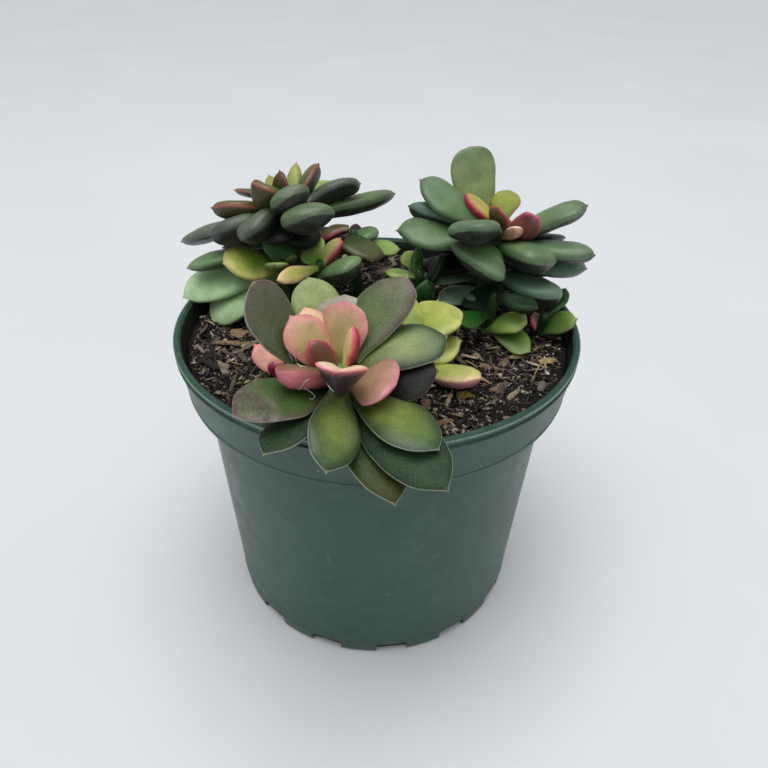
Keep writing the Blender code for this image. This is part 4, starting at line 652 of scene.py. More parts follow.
# ------------------------------------------------------------------ mesh building
class Build:
    """Collects points, faces and named fields, then becomes one object."""

    def __init__(self):
        self.points, self.faces, self.slots = [], [], []
        self.fields = {}
        self.count = 0

    def add(self, points, faces, slot=0, **fields):
        points = np.asarray(points, dtype=float)
        self.points.append(points)
        self.faces += [tuple(i + self.count for i in f) for f in faces]
        self.slots += [slot] * len(faces)
        for name, value in fields.items():
            value = np.asarray(value, dtype=float)
            if value.ndim == 0 or (value.ndim == 1 and len(value) == 3 and len(points) != 3):
                value = np.broadcast_to(value, (len(points),) + value.shape)
            self.fields.setdefault(name, []).append((self.count, value))
        self.count += len(points)

    def object(self, name, materials, smooth=True):
        points = np.concatenate(self.points) * MM
        mesh = bpy.data.meshes.new(name)
        mesh.from_pydata(points.tolist(), [], self.faces)
        for mat in materials:
            mesh.materials.append(mat)
        mesh.polygons.foreach_set("material_index", self.slots)
        for field, parts in self.fields.items():
            vector = parts[0][1].ndim == 2
            if field.startswith("tint"):
                att = mesh.attributes.new(field, "FLOAT_COLOR", "POINT")
                data = np.ones((self.count, 4))
                for at, value in parts:
                    data[at:at + len(value), :3] = value
                att.data.foreach_set("color", data.ravel())
            elif vector:
                att = mesh.attributes.new(field, "FLOAT_VECTOR", "POINT")
                data = np.zeros((self.count, 3))
                for at, value in parts:
                    data[at:at + len(value)] = value
                att.data.foreach_set("vector", data.ravel())
            else:
                att = mesh.attributes.new(field, "FLOAT", "POINT")
                data = np.zeros(self.count)
                for at, value in parts:
                    data[at:at + len(value)] = value
                att.data.foreach_set("value", data)
        if smooth:
            mesh.shade_smooth()
        mesh.update()
        ob = bpy.data.objects.new(name, mesh)
        bpy.context.scene.collection.objects.link(ob)
        return ob


def settle(ob, slot, *nodes):
    """Put a finished piece on the body, and let it stand for its nodes."""
    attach(ob, "root")
    if nodes:
        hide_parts(*nodes)
    return ob


def half_width(u, outline, point):
    root, widest, full, blunt = OUTLINES[outline][:4]
    a = np.clip(u / widest, 0.0, 1.0)
    low = root + (1.0 - root) * a * a * (3.0 - 2.0 * a)
    b = np.clip((u - widest) / (1.0 - widest), 0.0, 1.0)
    power = 1.0 / blunt
    power = power + (0.92 - power) * point * smoothstep(0.62, 1.0, b)
    high = np.maximum(0.0, 1.0 - b ** full) ** power
    return np.where(u < widest, low, high)


def plumpness(u, plump):
    at = [0.0, 0.15, 0.45, 0.75, 0.90, 0.97, 1.0]
    thin = [0.60, 0.75, 1.0, 0.88, 0.56, 0.26, 0.02]
    fat = [0.62, 0.80, 1.0, 0.98, 0.80, 0.52, 0.04]
    fine = np.linspace(0.0, 1.0, 201)
    line = np.interp(fine, at, thin) * (1.0 - plump) + np.interp(fine, at, fat) * plump
    kernel = np.ones(17) / 17.0
    padded = np.concatenate([np.full(8, line[0]), line, np.full(8, line[-1])])
    soft = np.convolve(padded, kernel, mode="valid")
    blend = smoothstep(0.90, 1.0, fine)
    return np.interp(u, fine, soft * (1.0 - blend) + line * blend)


def unit(v):
    v = np.asarray(v, dtype=float)
    return v / np.linalg.norm(v)


def add_leaf(build, slot, root, row, look, plump, point, seed, nu=38, nv=36):
    """One leaf as a closed grid, with its colour fields."""
    azimuth, rise, length, width, thick, bend, roll, lean, outline = row
    rng = np.random.default_rng(seed)
    a, e, r = math.radians(azimuth), math.radians(rise), math.radians(roll)
    ahead = np.array((math.cos(a) * math.cos(e), math.sin(a) * math.cos(e), math.sin(e)))
    side = np.array((math.sin(a), -math.cos(a), 0.0))
    upward = np.cross(side, ahead)
    side, upward = side * math.cos(r) + upward * math.sin(r), upward * math.cos(r) - side * math.sin(r)
    arc = math.radians(bend)

    t = np.arange(0, nu + 1) / nu
    us = 0.45 * t + 0.55 * (1.0 - np.cos(np.pi * t)) / 2.0
    inner = us[1:-1]
    phi = 2.0 * np.pi * np.arange(nv) / nv
    c, s = np.cos(phi), np.sin(phi)
    s[np.abs(s) < 1e-9] = 0.0
    U = np.repeat(inner, nv)
    C, S = np.tile(c, len(inner)), np.tile(s, len(inner))

    wave = rng.uniform(0, 6.28, 6)
    w = half_width(U, outline, point) * width / 2.0
    # the margins are never quite even
    w = w * (1.0 + 0.022 * np.sin(7.0 * U + wave[0] + np.where(C > 0, 0.0, 1.7)) * np.abs(C)
             + 0.012 * np.sin(17.0 * U + wave[1]) * np.abs(C))
    T = plumpness(U, plump) * thick
    share, keel = OUTLINES[outline][4:]
    round_margin = share > 0.40
    top = share * T * np.abs(S) ** (0.85 if round_margin else 1.1)
    channel = max(0.0, 0.4 - share) * 0.8 * T * np.exp(-(C / 0.45) ** 2) * smoothstep(0.0, 0.35, U) * smoothstep(1.0, 0.7, U)
    under = (1.0 - share) * T * ((1.0 - keel) * np.abs(S) ** (0.85 if round_margin else 1.0) + keel * (1.0 - np.abs(C)) ** 0.85)
    lift = np.where(S > 0, top - channel * (S > 0.05), -under)
    # low waves over the face, as of a leaf that grew against others
    lift = lift + 0.035 * T * np.sin(5.0 * U + 2.2 * C + wave[2]) * np.abs(S)
    twist = math.radians(rng.uniform(-7, 7)) * (U - 0.25)

    angle = arc * (U - 0.5)
    if abs(arc) > 1e-4:
        chord = 2.0 * math.sin(arc / 2.0) / arc
        along_x = (np.sin(angle) + math.sin(arc / 2.0)) / arc / chord
        along_z = (math.cos(arc / 2.0) - np.cos(angle)) / arc / chord
    else:
        along_x, along_z = U, np.zeros_like(U)
    q = np.clip((U - 0.45) / 0.55, 0.0, None)
    sideways = lean * width / 2.0 * q * q * (3.0 - 2.0 * q)
    across = w * C * np.cos(twist) - lift * np.sin(twist) + sideways
    high = lift * np.cos(twist) + w * C * np.sin(twist)
    face = upward[None, :] * np.cos(angle)[:, None] - ahead[None, :] * np.sin(angle)[:, None]
    P = (np.asarray(root, dtype=float)[None, :] + ahead[None, :] * (length * along_x)[:, None]
         + upward[None, :] * (length * along_z)[:, None] + side[None, :] * across[:, None] + face * high[:, None])

    # ends: the root's end and the small hard point of the tip
    root_end = np.asarray(root, dtype=float)
    end_angle = arc * 0.5
    end_ahead = ahead * math.cos(end_angle) + upward * math.sin(end_angle)
    end_face = upward * math.cos(end_angle) - ahead * math.sin(end_angle)
    rise_end = 0.0
    if abs(arc) > 1e-4:
        rise_end = (math.cos(arc / 2.0) - math.cos(end_angle)) / arc / chord
    tip_end = (root_end + ahead * length + upward * length * rise_end
               + side * (lean * width / 2.0) + end_ahead * (0.15 + 0.45 * point) + end_face * 0.05 * point)
    points = np.vstack([root_end[None, :], P, tip_end[None, :]])
    # slight unevenness of the whole form
    k = rng.uniform(0.25, 0.5, 3)
    bumps = 0.10 * np.sin(points @ (np.array([1.0, 0.7, 0.4]) * k[0]) + wave[3]) \
        + 0.06 * np.sin(points @ (np.array([-0.5, 1.0, 0.8]) * k[1] * 2.0) + wave[4])
    points = points + upward[None, :] * bumps[:, None]
    u_all = np.concatenate([[0.0], U, [1.0]])
    # the tips' hard points don't reach past the model's own box
    for _ in range(3):
        for axis in range(3):
            high_over = points[:, axis].max() - (CAD_HIGH[axis] - 0.04)
            low_over = (CAD_LOW[axis] + 0.04) - points[:, axis].min()
            if high_over > 0:
                points[:, axis] -= high_over * smoothstep(0.25, 0.9, u_all)
            if low_over > 0:
                points[:, axis] += low_over * smoothstep(0.25, 0.9, u_all)
    if look == "damaged":
        s_all = np.concatenate([[0.0], S, [0.0]])
        pit = np.array([noise.noise(Vector(p * 0.42) + Vector((3.0, 1.0, 2.0))) + 0.5 * noise.noise(Vector(p * 1.1)) for p in points])
        sunk = smoothstep(0.0, 0.25, pit) * smoothstep(0.60, 0.80, u_all) * smoothstep(0.97, 0.86, u_all) * smoothstep(0.0, 0.3, s_all)
        points = points - upward[None, :] * (0.40 * sunk)[:, None]

    rows = len(inner)
    faces = [(0, 1 + j, 1 + (j + 1) % nv) for j in range(nv)]
    for i in range(rows - 1):
        b0, b1 = 1 + i * nv, 1 + (i + 1) * nv
        for j in range(nv):
            k2 = (j + 1) % nv
            faces.append((b0 + j, b1 + j, b1 + k2, b0 + k2))
    last = 1 + (rows - 1) * nv
    tip = 1 + rows * nv
    faces += [(last + (j + 1) % nv, last + j, tip) for j in range(nv)]

    # fields
    full_u = np.concatenate([[0.0], U, [1.0]])
    full_c = np.concatenate([[0.0], C, [0.0]])
    full_s = np.concatenate([[0.0], S, [0.0]])
    from_margin = np.hypot(w * (1.0 - np.abs(C)), 0.9 * lift)
    edge = np.concatenate([[3.0], np.minimum(from_margin, np.hypot((1.0 - U) * length, 0.9 * lift)), [0.0]])
    (top0, top1, top2, tint, strength, reach, und0, und1, seam, speck, bloom, one_side) = LOOKS[look]
    cols = [skin(x) for x in (top0, top1, top2, tint, und0, und1)]
    jitter = 1.0 + rng.uniform(-0.06, 0.06)
    hue = np.array([1.0 + rng.uniform(-0.04, 0.04), 1.0, 1.0 + rng.uniform(-0.05, 0.05)])
    k1 = smoothstep(0.05, 0.50, full_u)[:, None]
    k2 = smoothstep(0.50, 1.0, full_u)[:, None]
    colour = cols[0] * (1 - k1) + cols[1] * k1
    colour = colour * (1 - k2) + cols[2] * k2
    if one_side:
        weight = smoothstep(-0.35, 0.55, full_c * np.sign(one_side))
        weight = (1.0 - abs(one_side)) + abs(one_side) * weight
    else:
        weight = 1.0
    margin = (strength * weight * np.exp(-(edge / reach) ** 2) * smoothstep(0.05, 0.35, full_u))[:, None]
    colour = colour * (1 - margin) + cols[3] * margin
    below = cols[4] * (1 - k1) + cols[5] * k1
    glow = (0.75 if look in YOUNG else 0.30) * margin * (np.abs(full_s) < 0.97)[:, None]
    below = below * (1 - glow) + cols[3] * glow
    if look == "damaged":
        # bruised, sunken patch near the tip, with a paler rim
        blot = np.array([noise.noise(Vector(p * 0.42) + Vector((3.0, 1.0, 2.0))) + 0.5 * noise.noise(Vector(p * 1.1)) for p in points])
        zone = smoothstep(0.60, 0.80, full_u) * smoothstep(0.0, 0.3, full_s + 0.3)
        sore = (smoothstep(0.02, 0.22, blot) * zone)[:, None]
        pale_rim = (smoothstep(-0.22, 0.0, blot) * (1.0 - smoothstep(0.0, 0.2, blot)) * zone)[:, None]
        colour = colour * (1 - 0.60 * sore) + linear((92, 60, 72)) * 0.60 * sore
        colour = colour * (1 - 0.16 * pale_rim) + linear((150, 134, 130)) * 0.16 * pale_rim
    # the tip's hard point is a little brown
    brown = (smoothstep(0.975, 1.0, full_u) * 0.5 * point)[:, None]
    colour = colour * (1 - brown) + linear((150, 110, 84)) * brown
    build.add(points, faces, slot, tint_top=np.clip(colour * jitter * hue, 0, 1), tint_under=np.clip(below * jitter * hue, 0, 1),
              face=full_s + (0.24 if round_margin else 0.0), edge=edge, line=np.full(len(points), seam), speck=np.full(len(points), speck),
              bloom=np.full(len(points), bloom), shift=np.tile(rng.uniform(-50, 50, 3), (len(points), 1)))


def skin(colour):
    """Skin colour under the gloss: a little deeper than it looks."""
    lin = linear(colour)
    return np.clip(np.maximum(lin - 0.014, 0.5 * lin), 0.002, 1.0)


def on_stem(foot, end, height, out, azimuth):
    foot, end = np.asarray(foot, float), np.asarray(end, float)
    a = math.radians(azimuth)
    return foot + unit(end - foot) * height + np.array((math.cos(a), math.sin(a), 0.0)) * out


def frames_along(path):
    """Points of a path with two directions across it that turn evenly."""
    path = np.asarray(path, float)
    tangents = np.gradient(path, axis=0)
    tangents /= np.linalg.norm(tangents, axis=1)[:, None]
    first = np.cross(tangents[0], (0.3, 0.2, 1.0) if abs(tangents[0][2]) < 0.9 else (1.0, 0.1, 0.0))
    first = unit(first)
    sides = [first]
    for t in tangents[1:]:
        v = sides[-1] - t * np.dot(sides[-1], t)
        sides.append(unit(v))
    sides = np.array(sides)
    return path, tangents, sides, np.cross(tangents, sides)


def add_tube(build, path, radii, sides=8, slot=0, rough=0.0, seed=0, **fields):
    """A closed round tube along a path."""
    path, _, one, two = frames_along(path)
    radii = np.broadcast_to(np.asarray(radii, float), (len(path),))
    rng = np.random.default_rng(seed)
    points, rows = [], len(path)
    for i in range(rows):
        for j in range(sides):
            a = 2.0 * math.pi * j / sides
            k = radii[i] * (1.0 + rough * rng.uniform(-1, 1))
            points.append(path[i] + one[i] * (k * math.cos(a)) + two[i] * (k * math.sin(a)))
    faces = []
    for i in range(rows - 1):
        for j in range(sides):
            k = (j + 1) % sides
            faces.append((i * sides + j, i * sides + k, (i + 1) * sides + k, (i + 1) * sides + j))
    faces.append(tuple(reversed(range(sides))))
    faces.append(tuple((rows - 1) * sides + j for j in range(sides)))
    build.add(points, faces, slot, **fields)


def leaf_fields(look, n):
    """Colour fields for green stem that is covered with the leaf skin."""
    base = linear(LOOKS[look][0])
    return dict(tint_top=np.tile(base, (n, 1)), tint_under=np.tile(base, (n, 1)), face=np.ones(n), edge=np.full(n, 3.0),
                line=np.zeros(n), speck=np.full(n, 0.4), bloom=np.full(n, 0.1), shift=np.zeros((n, 3)))


def add_green_rod(build, c0, c1, r0, r1, look, seed, rows=14, sides=20):
    c0, c1 = np.asarray(c0, float), np.asarray(c1, float)
    t = np.linspace(0, 1, rows)
    path = c0[None, :] + (c1 - c0)[None, :] * t[:, None]
    # rounded upper end
    radii = r0 + (r1 - r0) * t
    rings = np.sin(t * 19.0 + seed) * 0.05
    radii = radii * (1.0 + rings)
    radii[-1] *= 0.55
    radii[0] *= 0.9
    add_tube(build, path, radii, sides, 0, 0.03, seed, **leaf_fields(look, rows * sides))


# ------------------------------------------------------------------ leaves
seed = 100
for plant, rows in (("front", FRONT_LEAVES), ("left", LEFT_LEAVES), ("right", RIGHT_LEAVES)):
    foot, end = STEMS[plant]
    for row in rows:
        name, height, out = row[:3]
        look, plump, point = LEAF_LOOKS[name]
        seed += 1
        b = Build()
        add_leaf(b, 0, on_stem(foot, end, height, out, row[3]), row[3:], look, plump, point, seed, 46, 44)
        ob = b.object(name + "_skin", [LEAF_YOUNG if look in YOUNG else LEAF_DULL if look in DULL else LEAF])
        slot = frame_slot = next(s["material_slot"] for s in frame["record"]["subparts"] if s["node"] == name)
        settle(ob, slot, name)


def add_cluster(name, foot, end, core, rows, stem_look):
    global seed
    b = Build()
    c0, c1, radius = core
    seed += 1
    add_green_rod(b, c0, c1, radius, radius * 0.9, stem_look, seed)
    for row, look, plump, point in rows:
        seed += 1
        height, out, azimuth, rise, length = row[:5]
        a, e = math.radians(azimuth), math.radians(rise)
        ahead = np.array((math.cos(a) * math.cos(e), math.sin(a) * math.cos(e), math.sin(e)))
        root = on_stem(foot, end, height, out, azimuth) - ahead * 2.0
        add_leaf(b, 1 if look in YOUNG else 2 if look in DULL else 0, root, (azimuth, rise, length + 2.0) + tuple(row[5:]), look, plump, point, seed, 34, 32)
    ob = b.object(name + "_skin", [LEAF, LEAF_YOUNG, LEAF_DULL])
    slot = next(s["material_slot"] for s in frame["record"]["subparts"] if s["node"] == name)
    return settle(ob, slot, name)


heart_feet = {plant: high + 0.32 for _, plant, _, high, _ in WHORLS}
for name, plant, low, high, radius, rows in HEARTS:
    foot, end = STEMS[plant]
    start = max(low - 1.5, heart_feet[plant])
    core = (on_stem(foot, end, start, 0, 0), on_stem(foot, end, high, 0, 0), radius)
    add_cluster(name, foot, end, core, rows, "fresh")
for name, plant, low, high, rows in WHORLS:
    foot, end = STEMS[plant]
    core = (on_stem(foot, end, low, 0, 0), on_stem(foot, end, high, 0, 0), STEM_CROWN_RADIUS)
    add_cluster(name, foot, end, core, rows, "sage_dark")
for name, foot, end, rows in OFFSETS:
    ahead = unit(np.asarray(end, float) - np.asarray(foot, float))
    tallest = max(row[0][0] for row in rows)
    core = (np.asarray(foot, float) - ahead * 3.0, np.asarray(foot, float) + ahead * (tallest + 0.6), OFFSET_STEM_RADIUS)
    add_cluster(name, foot, end, core, rows, "leaf_green")

# ------------------------------------------------------------------ stems
for plant, low in (("front", 6.0), ("left", 6.0), ("right", 6.0)):
    foot, end = STEMS[plant]
    ahead = unit(np.asarray(end, float) - np.asarray(foot, float))
    c0 = np.asarray(foot, float) - ahead * STEM_DEPTH
    c1 = np.asarray(foot, float) + ahead * (low - 0.32)
    t = np.linspace(0, 1, 24)
    path = c0[None, :] + (c1 - c0)[None, :] * t[:, None]
    radii = STEM_RADIUS + (STEM_CROWN_RADIUS - STEM_RADIUS) * t
    radii = radii * (0.96 + 0.04 * np.sin(t * 30.0))
    b = Build()
    add_tube(b, path, radii, 24, 0, 0.035, seed)
    settle(b.object(plant + "_stem_bark", [STEM]), "stem", plant + "_stem")

# ------------------------------------------------------------------ pot
def rounded(profile, radii, steps=4):
    """The profile with its corners rounded."""
    out = []
    n = len(profile)
    for i, (p, r) in enumerate(zip(profile, radii)):
        p = np.array(p, float)
        if r <= 0:
            out.append(tuple(p))
            continue
        before, after = np.array(profile[i - 1], float), np.array(profile[(i + 1) % n], float)
        d0, d1 = unit(before - p), unit(after - p)
        half = math.acos(max(-1, min(1, float(np.dot(d0, d1))))) / 2.0
        cut = min(r / max(math.tan(half), 1e-3), 0.45 * np.linalg.norm(before - p), 0.45 * np.linalg.norm(after - p))
        a, b2 = p + d0 * cut, p + d1 * cut
        for k in range(steps + 1):
            t = k / steps
            q = (1 - t) ** 2 * a + 2 * t * (1 - t) * p + t * t * b2
            out.append(tuple(q))
    return out


band_foot = POT_HEIGHT - BAND_HEIGHT
lip_foot = POT_HEIGHT - LIP_HEIGHT
corner_points = [
    ((0.0, FLOOR), 0), ((BASE_RADIUS - WALL, FLOOR), 0.6), ((BODY_TOP_RADIUS - WALL, band_foot + WALL), 0.5),
    ((BAND_FOOT_RADIUS - WALL, band_foot + WALL), 0.5), ((BAND_TOP_RADIUS - WALL, lip_foot), 0.6),
    ((RIM_RADIUS - 1.75, POT_HEIGHT - 0.5), 0.3), ((RIM_RADIUS - 1.45, POT_HEIGHT), 0.15),
    ((RIM_RADIUS - 0.55, POT_HEIGHT), 0.25), ((RIM_RADIUS, POT_HEIGHT - 0.5), 0.3),
    ((RIM_RADIUS, POT_HEIGHT - 1.25), 0.25), ((RIM_RADIUS - 0.55, POT_HEIGHT - 1.65), 0.15),
    ((RIM_RADIUS - 0.55, POT_HEIGHT - 2.2), 0.15), ((RIM_RADIUS - 0.05, POT_HEIGHT - 2.55), 0.2),
    ((RIM_RADIUS - 0.08, lip_foot + 0.45), 0.2), ((BAND_TOP_RADIUS - 0.05, lip_foot), 0.2),
    ((BAND_FOOT_RADIUS + 0.20, band_foot + 1.9), 0.1), ((BAND_FOOT_RADIUS + 0.36, band_foot + 1.55), 0.1),
    ((BAND_FOOT_RADIUS + 0.12, band_foot + 1.2), 0.1), ((BAND_FOOT_RADIUS, band_foot + 0.35), 0.15),
    ((BAND_FOOT_RADIUS - 0.4, band_foot), 0.15), ((BODY_TOP_RADIUS, band_foot), 0.3),
    ((BASE_RADIUS + 0.24, 4.7), 0.1), ((BASE_RADIUS + 0.36, 4.4), 0.1), ((BASE_RADIUS + 0.14, 4.1), 0.1),
    ((BASE_RADIUS, 0.9), 0.5), ((BASE_RADIUS - 0.9, 0.0), 0.3), ((0.0, 0.0), 0),
]
profile = rounded([p for p, _ in corner_points], [r for _, r in corner_points])
mesh = bpy.data.meshes.new("pot_moulded")
mesh.from_pydata([(r * MM, 0.0, z * MM) for r, z in profile], [(i, i + 1) for i in range(len(profile) - 1)], [])
pot = bpy.data.objects.new("pot_moulded", mesh)
bpy.context.scene.collection.objects.link(pot)
screw = pot.modifiers.new("turn", "SCREW")
screw.steps = screw.render_steps = 180
screw.use_merge_vertices = True
screw.merge_threshold = 0.00002
screw.use_smooth_shade = True
cutters = []
for i in range(SLOT_COUNT):
    angle = math.radians(SLOT_FIRST + i * 360.0 / SLOT_COUNT)
    bm = bmesh.new()
    bmesh.ops.create_cube(bm, size=1.0)
    bmesh.ops.scale(bm, vec=(3.8, SLOT_WIDTH, SLOT_HEIGHT + 2.0), verts=bm.verts)
    edges = [ed for ed in bm.edges if abs(ed.verts[0].co.x - ed.verts[1].co.x) > 1.0 and ed.verts[0].co.z > 0]
    bmesh.ops.bevel(bm, geom=edges, offset=0.8, segments=3, profile=0.5, affect="EDGES")
    bmesh.ops.translate(bm, vec=(BASE_RADIUS, 0.0, (SLOT_HEIGHT - 2.0) / 2.0), verts=bm.verts)
    bmesh.ops.rotate(bm, cent=(0, 0, 0), matrix=Matrix.Rotation(angle, 3, "Z"), verts=bm.verts)
    bmesh.ops.scale(bm, vec=(MM, MM, MM), verts=bm.verts)
    cutter_mesh = bpy.data.meshes.new("slot_cutter")
    bm.to_mesh(cutter_mesh)
    bm.free()
    cutter = bpy.data.objects.new("slot_cutter_%02d" % i, cutter_mesh)
    bpy.context.scene.collection.objects.link(cutter)
    cutters.append(cutter)
    mod = pot.modifiers.new("slot", "BOOLEAN")
    mod.operation, mod.solver, mod.object = "DIFFERENCE", "EXACT", cutter
graph = bpy.context.evaluated_depsgraph_get()
done = bpy.data.meshes.new_from_object(pot.evaluated_get(graph))
pot.modifiers.clear()
pot.data = done
done.name = "pot_moulded"
for cutter in cutters:
    bpy.data.objects.remove(cutter, do_unlink=True)
pot.data.materials.clear()
pot.data.materials.append(POT)
pot.data.shade_smooth()
pot.data.set_sharp_from_angle(angle=math.radians(32))
settle(pot, "pot", "pot")


# ------------------------------------------------------------------ potting mix
def soil_base(x, y):
    r = np.hypot(x, y) / 52.0
    level = SOIL_MIDDLE + (SOIL_EDGE - SOIL_MIDDLE) * r * r
    waves = np.sin(0.21 * x + 0.9) * np.cos(0.17 * y - 0.4) + 0.6 * np.sin(0.37 * x - 0.29 * y + 1.3)
    return level + SOIL_BUMP * waves * (1.0 - 0.6 * r ** 4)


def soil_fine(x, y):
    """Crumbs and hollows on the surface."""
    v = Vector((x * 0.22, y * 0.22, 3.1))
    w = Vector((x * 0.8, y * 0.8, 7.7))
    f = Vector((x * 2.1, y * 2.1, 1.3))
    heap = float(smoothstep(41.0, 50.0, math.hypot(x, y))) * (1.0 + 0.9 * noise.noise(Vector((x * 0.12, y * 0.12, 5.5))))
    return 0.95 * noise.noise(v) + 0.85 * noise.noise(w) + 0.42 * noise.noise(f) + heap


def soil_height(x, y):
    return float(soil_base(x, y)) + soil_fine(x, y)


rings, around = 110, 300
reach = 50.9
b = Build()
points = [(0.0, 0.0, soil_height(0.0, 0.0))]
for i in range(1, rings + 1):
    r = reach * (i / rings) ** 0.8
    for j in range(around):
        a = 2.0 * math.pi * j / around
        x, y = r * math.cos(a), r * math.sin(a)
        z = soil_height(x, y)
        if i == rings:
            z = min(z, SOIL_EDGE + 1.4)
        points.append((x, y, z))
for r, z in ((BAND_TOP_RADIUS - WALL - 1.2, SOIL_EDGE - 2.0), (BAND_FOOT_RADIUS - WALL - 0.5, band_foot + WALL + 0.6),
             (BODY_TOP_RADIUS - WALL - 0.5, band_foot + WALL + 0.2), (BASE_RADIUS - WALL - 1.0, FLOOR + 0.32)):
    for j in range(around):
        a = 2.0 * math.pi * j / around
        points.append((r * math.cos(a), r * math.sin(a), z))
points.append((0.0, 0.0, FLOOR + 0.32))
faces = [(0, 1 + j, 1 + (j + 1) % around) for j in range(around)]
for i in range(rings + 3):
    for j in range(around):
        k = (j + 1) % around
        faces.append((1 + i * around + j, 1 + (i + 1) * around + j, 1 + (i + 1) * around + k, 1 + i * around + k))
last = 1 + (rings + 3) * around
faces += [(last + (j + 1) % around, last + j, len(points) - 1) for j in range(around)]
b.add(points, faces)
settle(b.object("potting_mix", [SOIL]), "soil", "soil")

rng = np.random.default_rng(42)
DARK = [linear(c) for c in ((12, 10, 10), (20, 17, 16), (32, 27, 24), (46, 39, 35), (24, 21, 21))]
MID = [linear(c) for c in ((110, 98, 84), (136, 120, 100), (122, 104, 86), (98, 88, 80), (112, 92, 84))]
PALE = [linear(c) for c in ((188, 170, 142), (208, 190, 158), (172, 156, 132), (216, 200, 170))]
WHITE = [linear(c) for c in ((222, 214, 200), (236, 232, 222), (206, 198, 184))]


def ico():
    bm = bmesh.new()
    bmesh.ops.create_icosphere(bm, subdivisions=1, radius=1.0)
    p = np.array([v.co[:] for v in bm.verts])
    f = [tuple(v.index for v in face.verts) for face in bm.faces]
    bm.free()
    return p, f


ICO_P, ICO_F = ico()


def pick(kinds, shares):
    k = kinds[rng.choice(len(kinds), p=shares)]
    return k[rng.integers(len(k))]


def between_plants_shade(x, y):
    """Painted shade: the mix is darker between the plants, where the leaves shade it."""
    return 1.0 - 0.62 * math.exp(-((x - 5.0) ** 2 + (y - 33.0) ** 2) / (2.0 * 13.0 ** 2))


def turn_matrix(yaw, pitch, spin):
    return np.array((Matrix.Rotation(yaw, 3, "Z") @ Matrix.Rotation(pitch, 3, "Y") @ Matrix.Rotation(spin, 3, "X")))


def spot(limit=49.6):
    r = limit * math.sqrt(rng.uniform(0, 1))
    a = rng.uniform(0, 2 * math.pi)
    return r * math.cos(a), r * math.sin(a)


# grains: coarse ones, then fine grit
for name, count, low, high in (("mix_grains", 5600, 0.24, 0.95), ("mix_grit", 7600, 0.13, 0.42)):
    b = Build()
    for i in range(count):
        x, y = spot(50.0)
        size = min(high, low * math.exp(rng.normal(0.25, 0.45)))
        tint = pick((DARK, MID, PALE, WHITE), (0.46, 0.28, 0.20, 0.06))
        shape = ICO_P * (1.0 + rng.uniform(-0.28, 0.28, len(ICO_P)))[:, None] * np.array((rng.uniform(0.8, 1.9), rng.uniform(0.6, 1.1), rng.uniform(0.5, 0.9))) * size
        shape = shape @ turn_matrix(rng.uniform(0, 6.28), rng.uniform(-0.6, 0.6), rng.uniform(0, 6.28)).T
        z = soil_height(x, y) + size * rng.uniform(0.05, 0.55)
        # the grain's tint takes the painted shade between the plants
        b.add(shape + np.array((x, y, z)), ICO_F, 0, tint_top=np.tile(tint * rng.uniform(0.8, 1.15) * between_plants_shade(x, y), (len(ICO_P), 1)))
    settle(b.object(name, [GRAINS], smooth=False), "soil")


def add_sliver(build, x, y, z, length, width, thick, yaw, pitch, spin, tint, curl=0.0, rows=7):
    """A splinter of bark or wood: a lens section drawn out between two torn ends."""
    t = np.linspace(0, 1, rows)
    pts = []
    section = [(-1, 0), (-0.55, 0.8), (0.4, 1.0), (1, 0.15), (0.5, -0.8), (-0.4, -0.9)]
    for i, u in enumerate(t):
        k = (math.sin(math.pi * min(1.0, 0.08 + u * 0.86)) ** 0.45) * (1.0 + rng.uniform(-0.16, 0.16))
        bow = curl * length * (u - 0.5) ** 2
        for cx, cz in section:
            pts.append(((u - 0.5) * length + rng.uniform(-0.05, 0.05) * length * (i in (0, rows - 1)), cx * width * 0.5 * k + bow * 0.4, cz * thick * 0.5 * k - bow))
    pts = np.array(pts) @ turn_matrix(yaw, pitch, spin).T + np.array((x, y, z))
    n = len(section)
    f = []
    for i in range(rows - 1):
        for j in range(n):
            k = (j + 1) % n
            f.append((i * n + j, (i + 1) * n + j, (i + 1) * n + k, i * n + k))
    f.append(tuple(range(n)))
    f.append(tuple(reversed([(rows - 1) * n + j for j in range(n)])))
    build.add(pts, f, 0, tint_top=np.tile(tint, (len(pts), 1)))


for name, count, size in (("mix_splinters", 1700, 1.35), ("mix_shreds", 1900, 0.85)):
    b = Build()
    for i in range(count):
        x, y = spot(49.6)
        length = min(8.0, size * math.exp(rng.normal(0.25, 0.5)))
        width = min(1.5, length * rng.uniform(0.09, 0.32))
        # the shred's tint takes the painted shade between the plants
        tint = pick((DARK, MID, PALE, WHITE), (0.30, 0.38, 0.30, 0.02)) * rng.uniform(0.8, 1.15) * between_plants_shade(x, y)
        pitch = rng.normal(0.0, 0.34)
        reach_in = 0.5 * length * abs(math.cos(pitch))
        away = math.hypot(x, y)
        yaw = rng.uniform(0, 6.28)
        if away + reach_in > 50.6:
            yaw = math.atan2(y, x) + math.pi / 2.0 + rng.normal(0, 0.2)
        z = soil_height(x, y) + width * 0.35 + abs(math.sin(pitch)) * length * 0.18
        add_sliver(b, x, y, z, length, width, width * rng.uniform(0.2, 0.55), yaw, pitch, rng.normal(0, 0.5), tint, rng.uniform(-0.15, 0.30), 5)
    settle(b.object(name, [CHIPS], smooth=False), "soil")

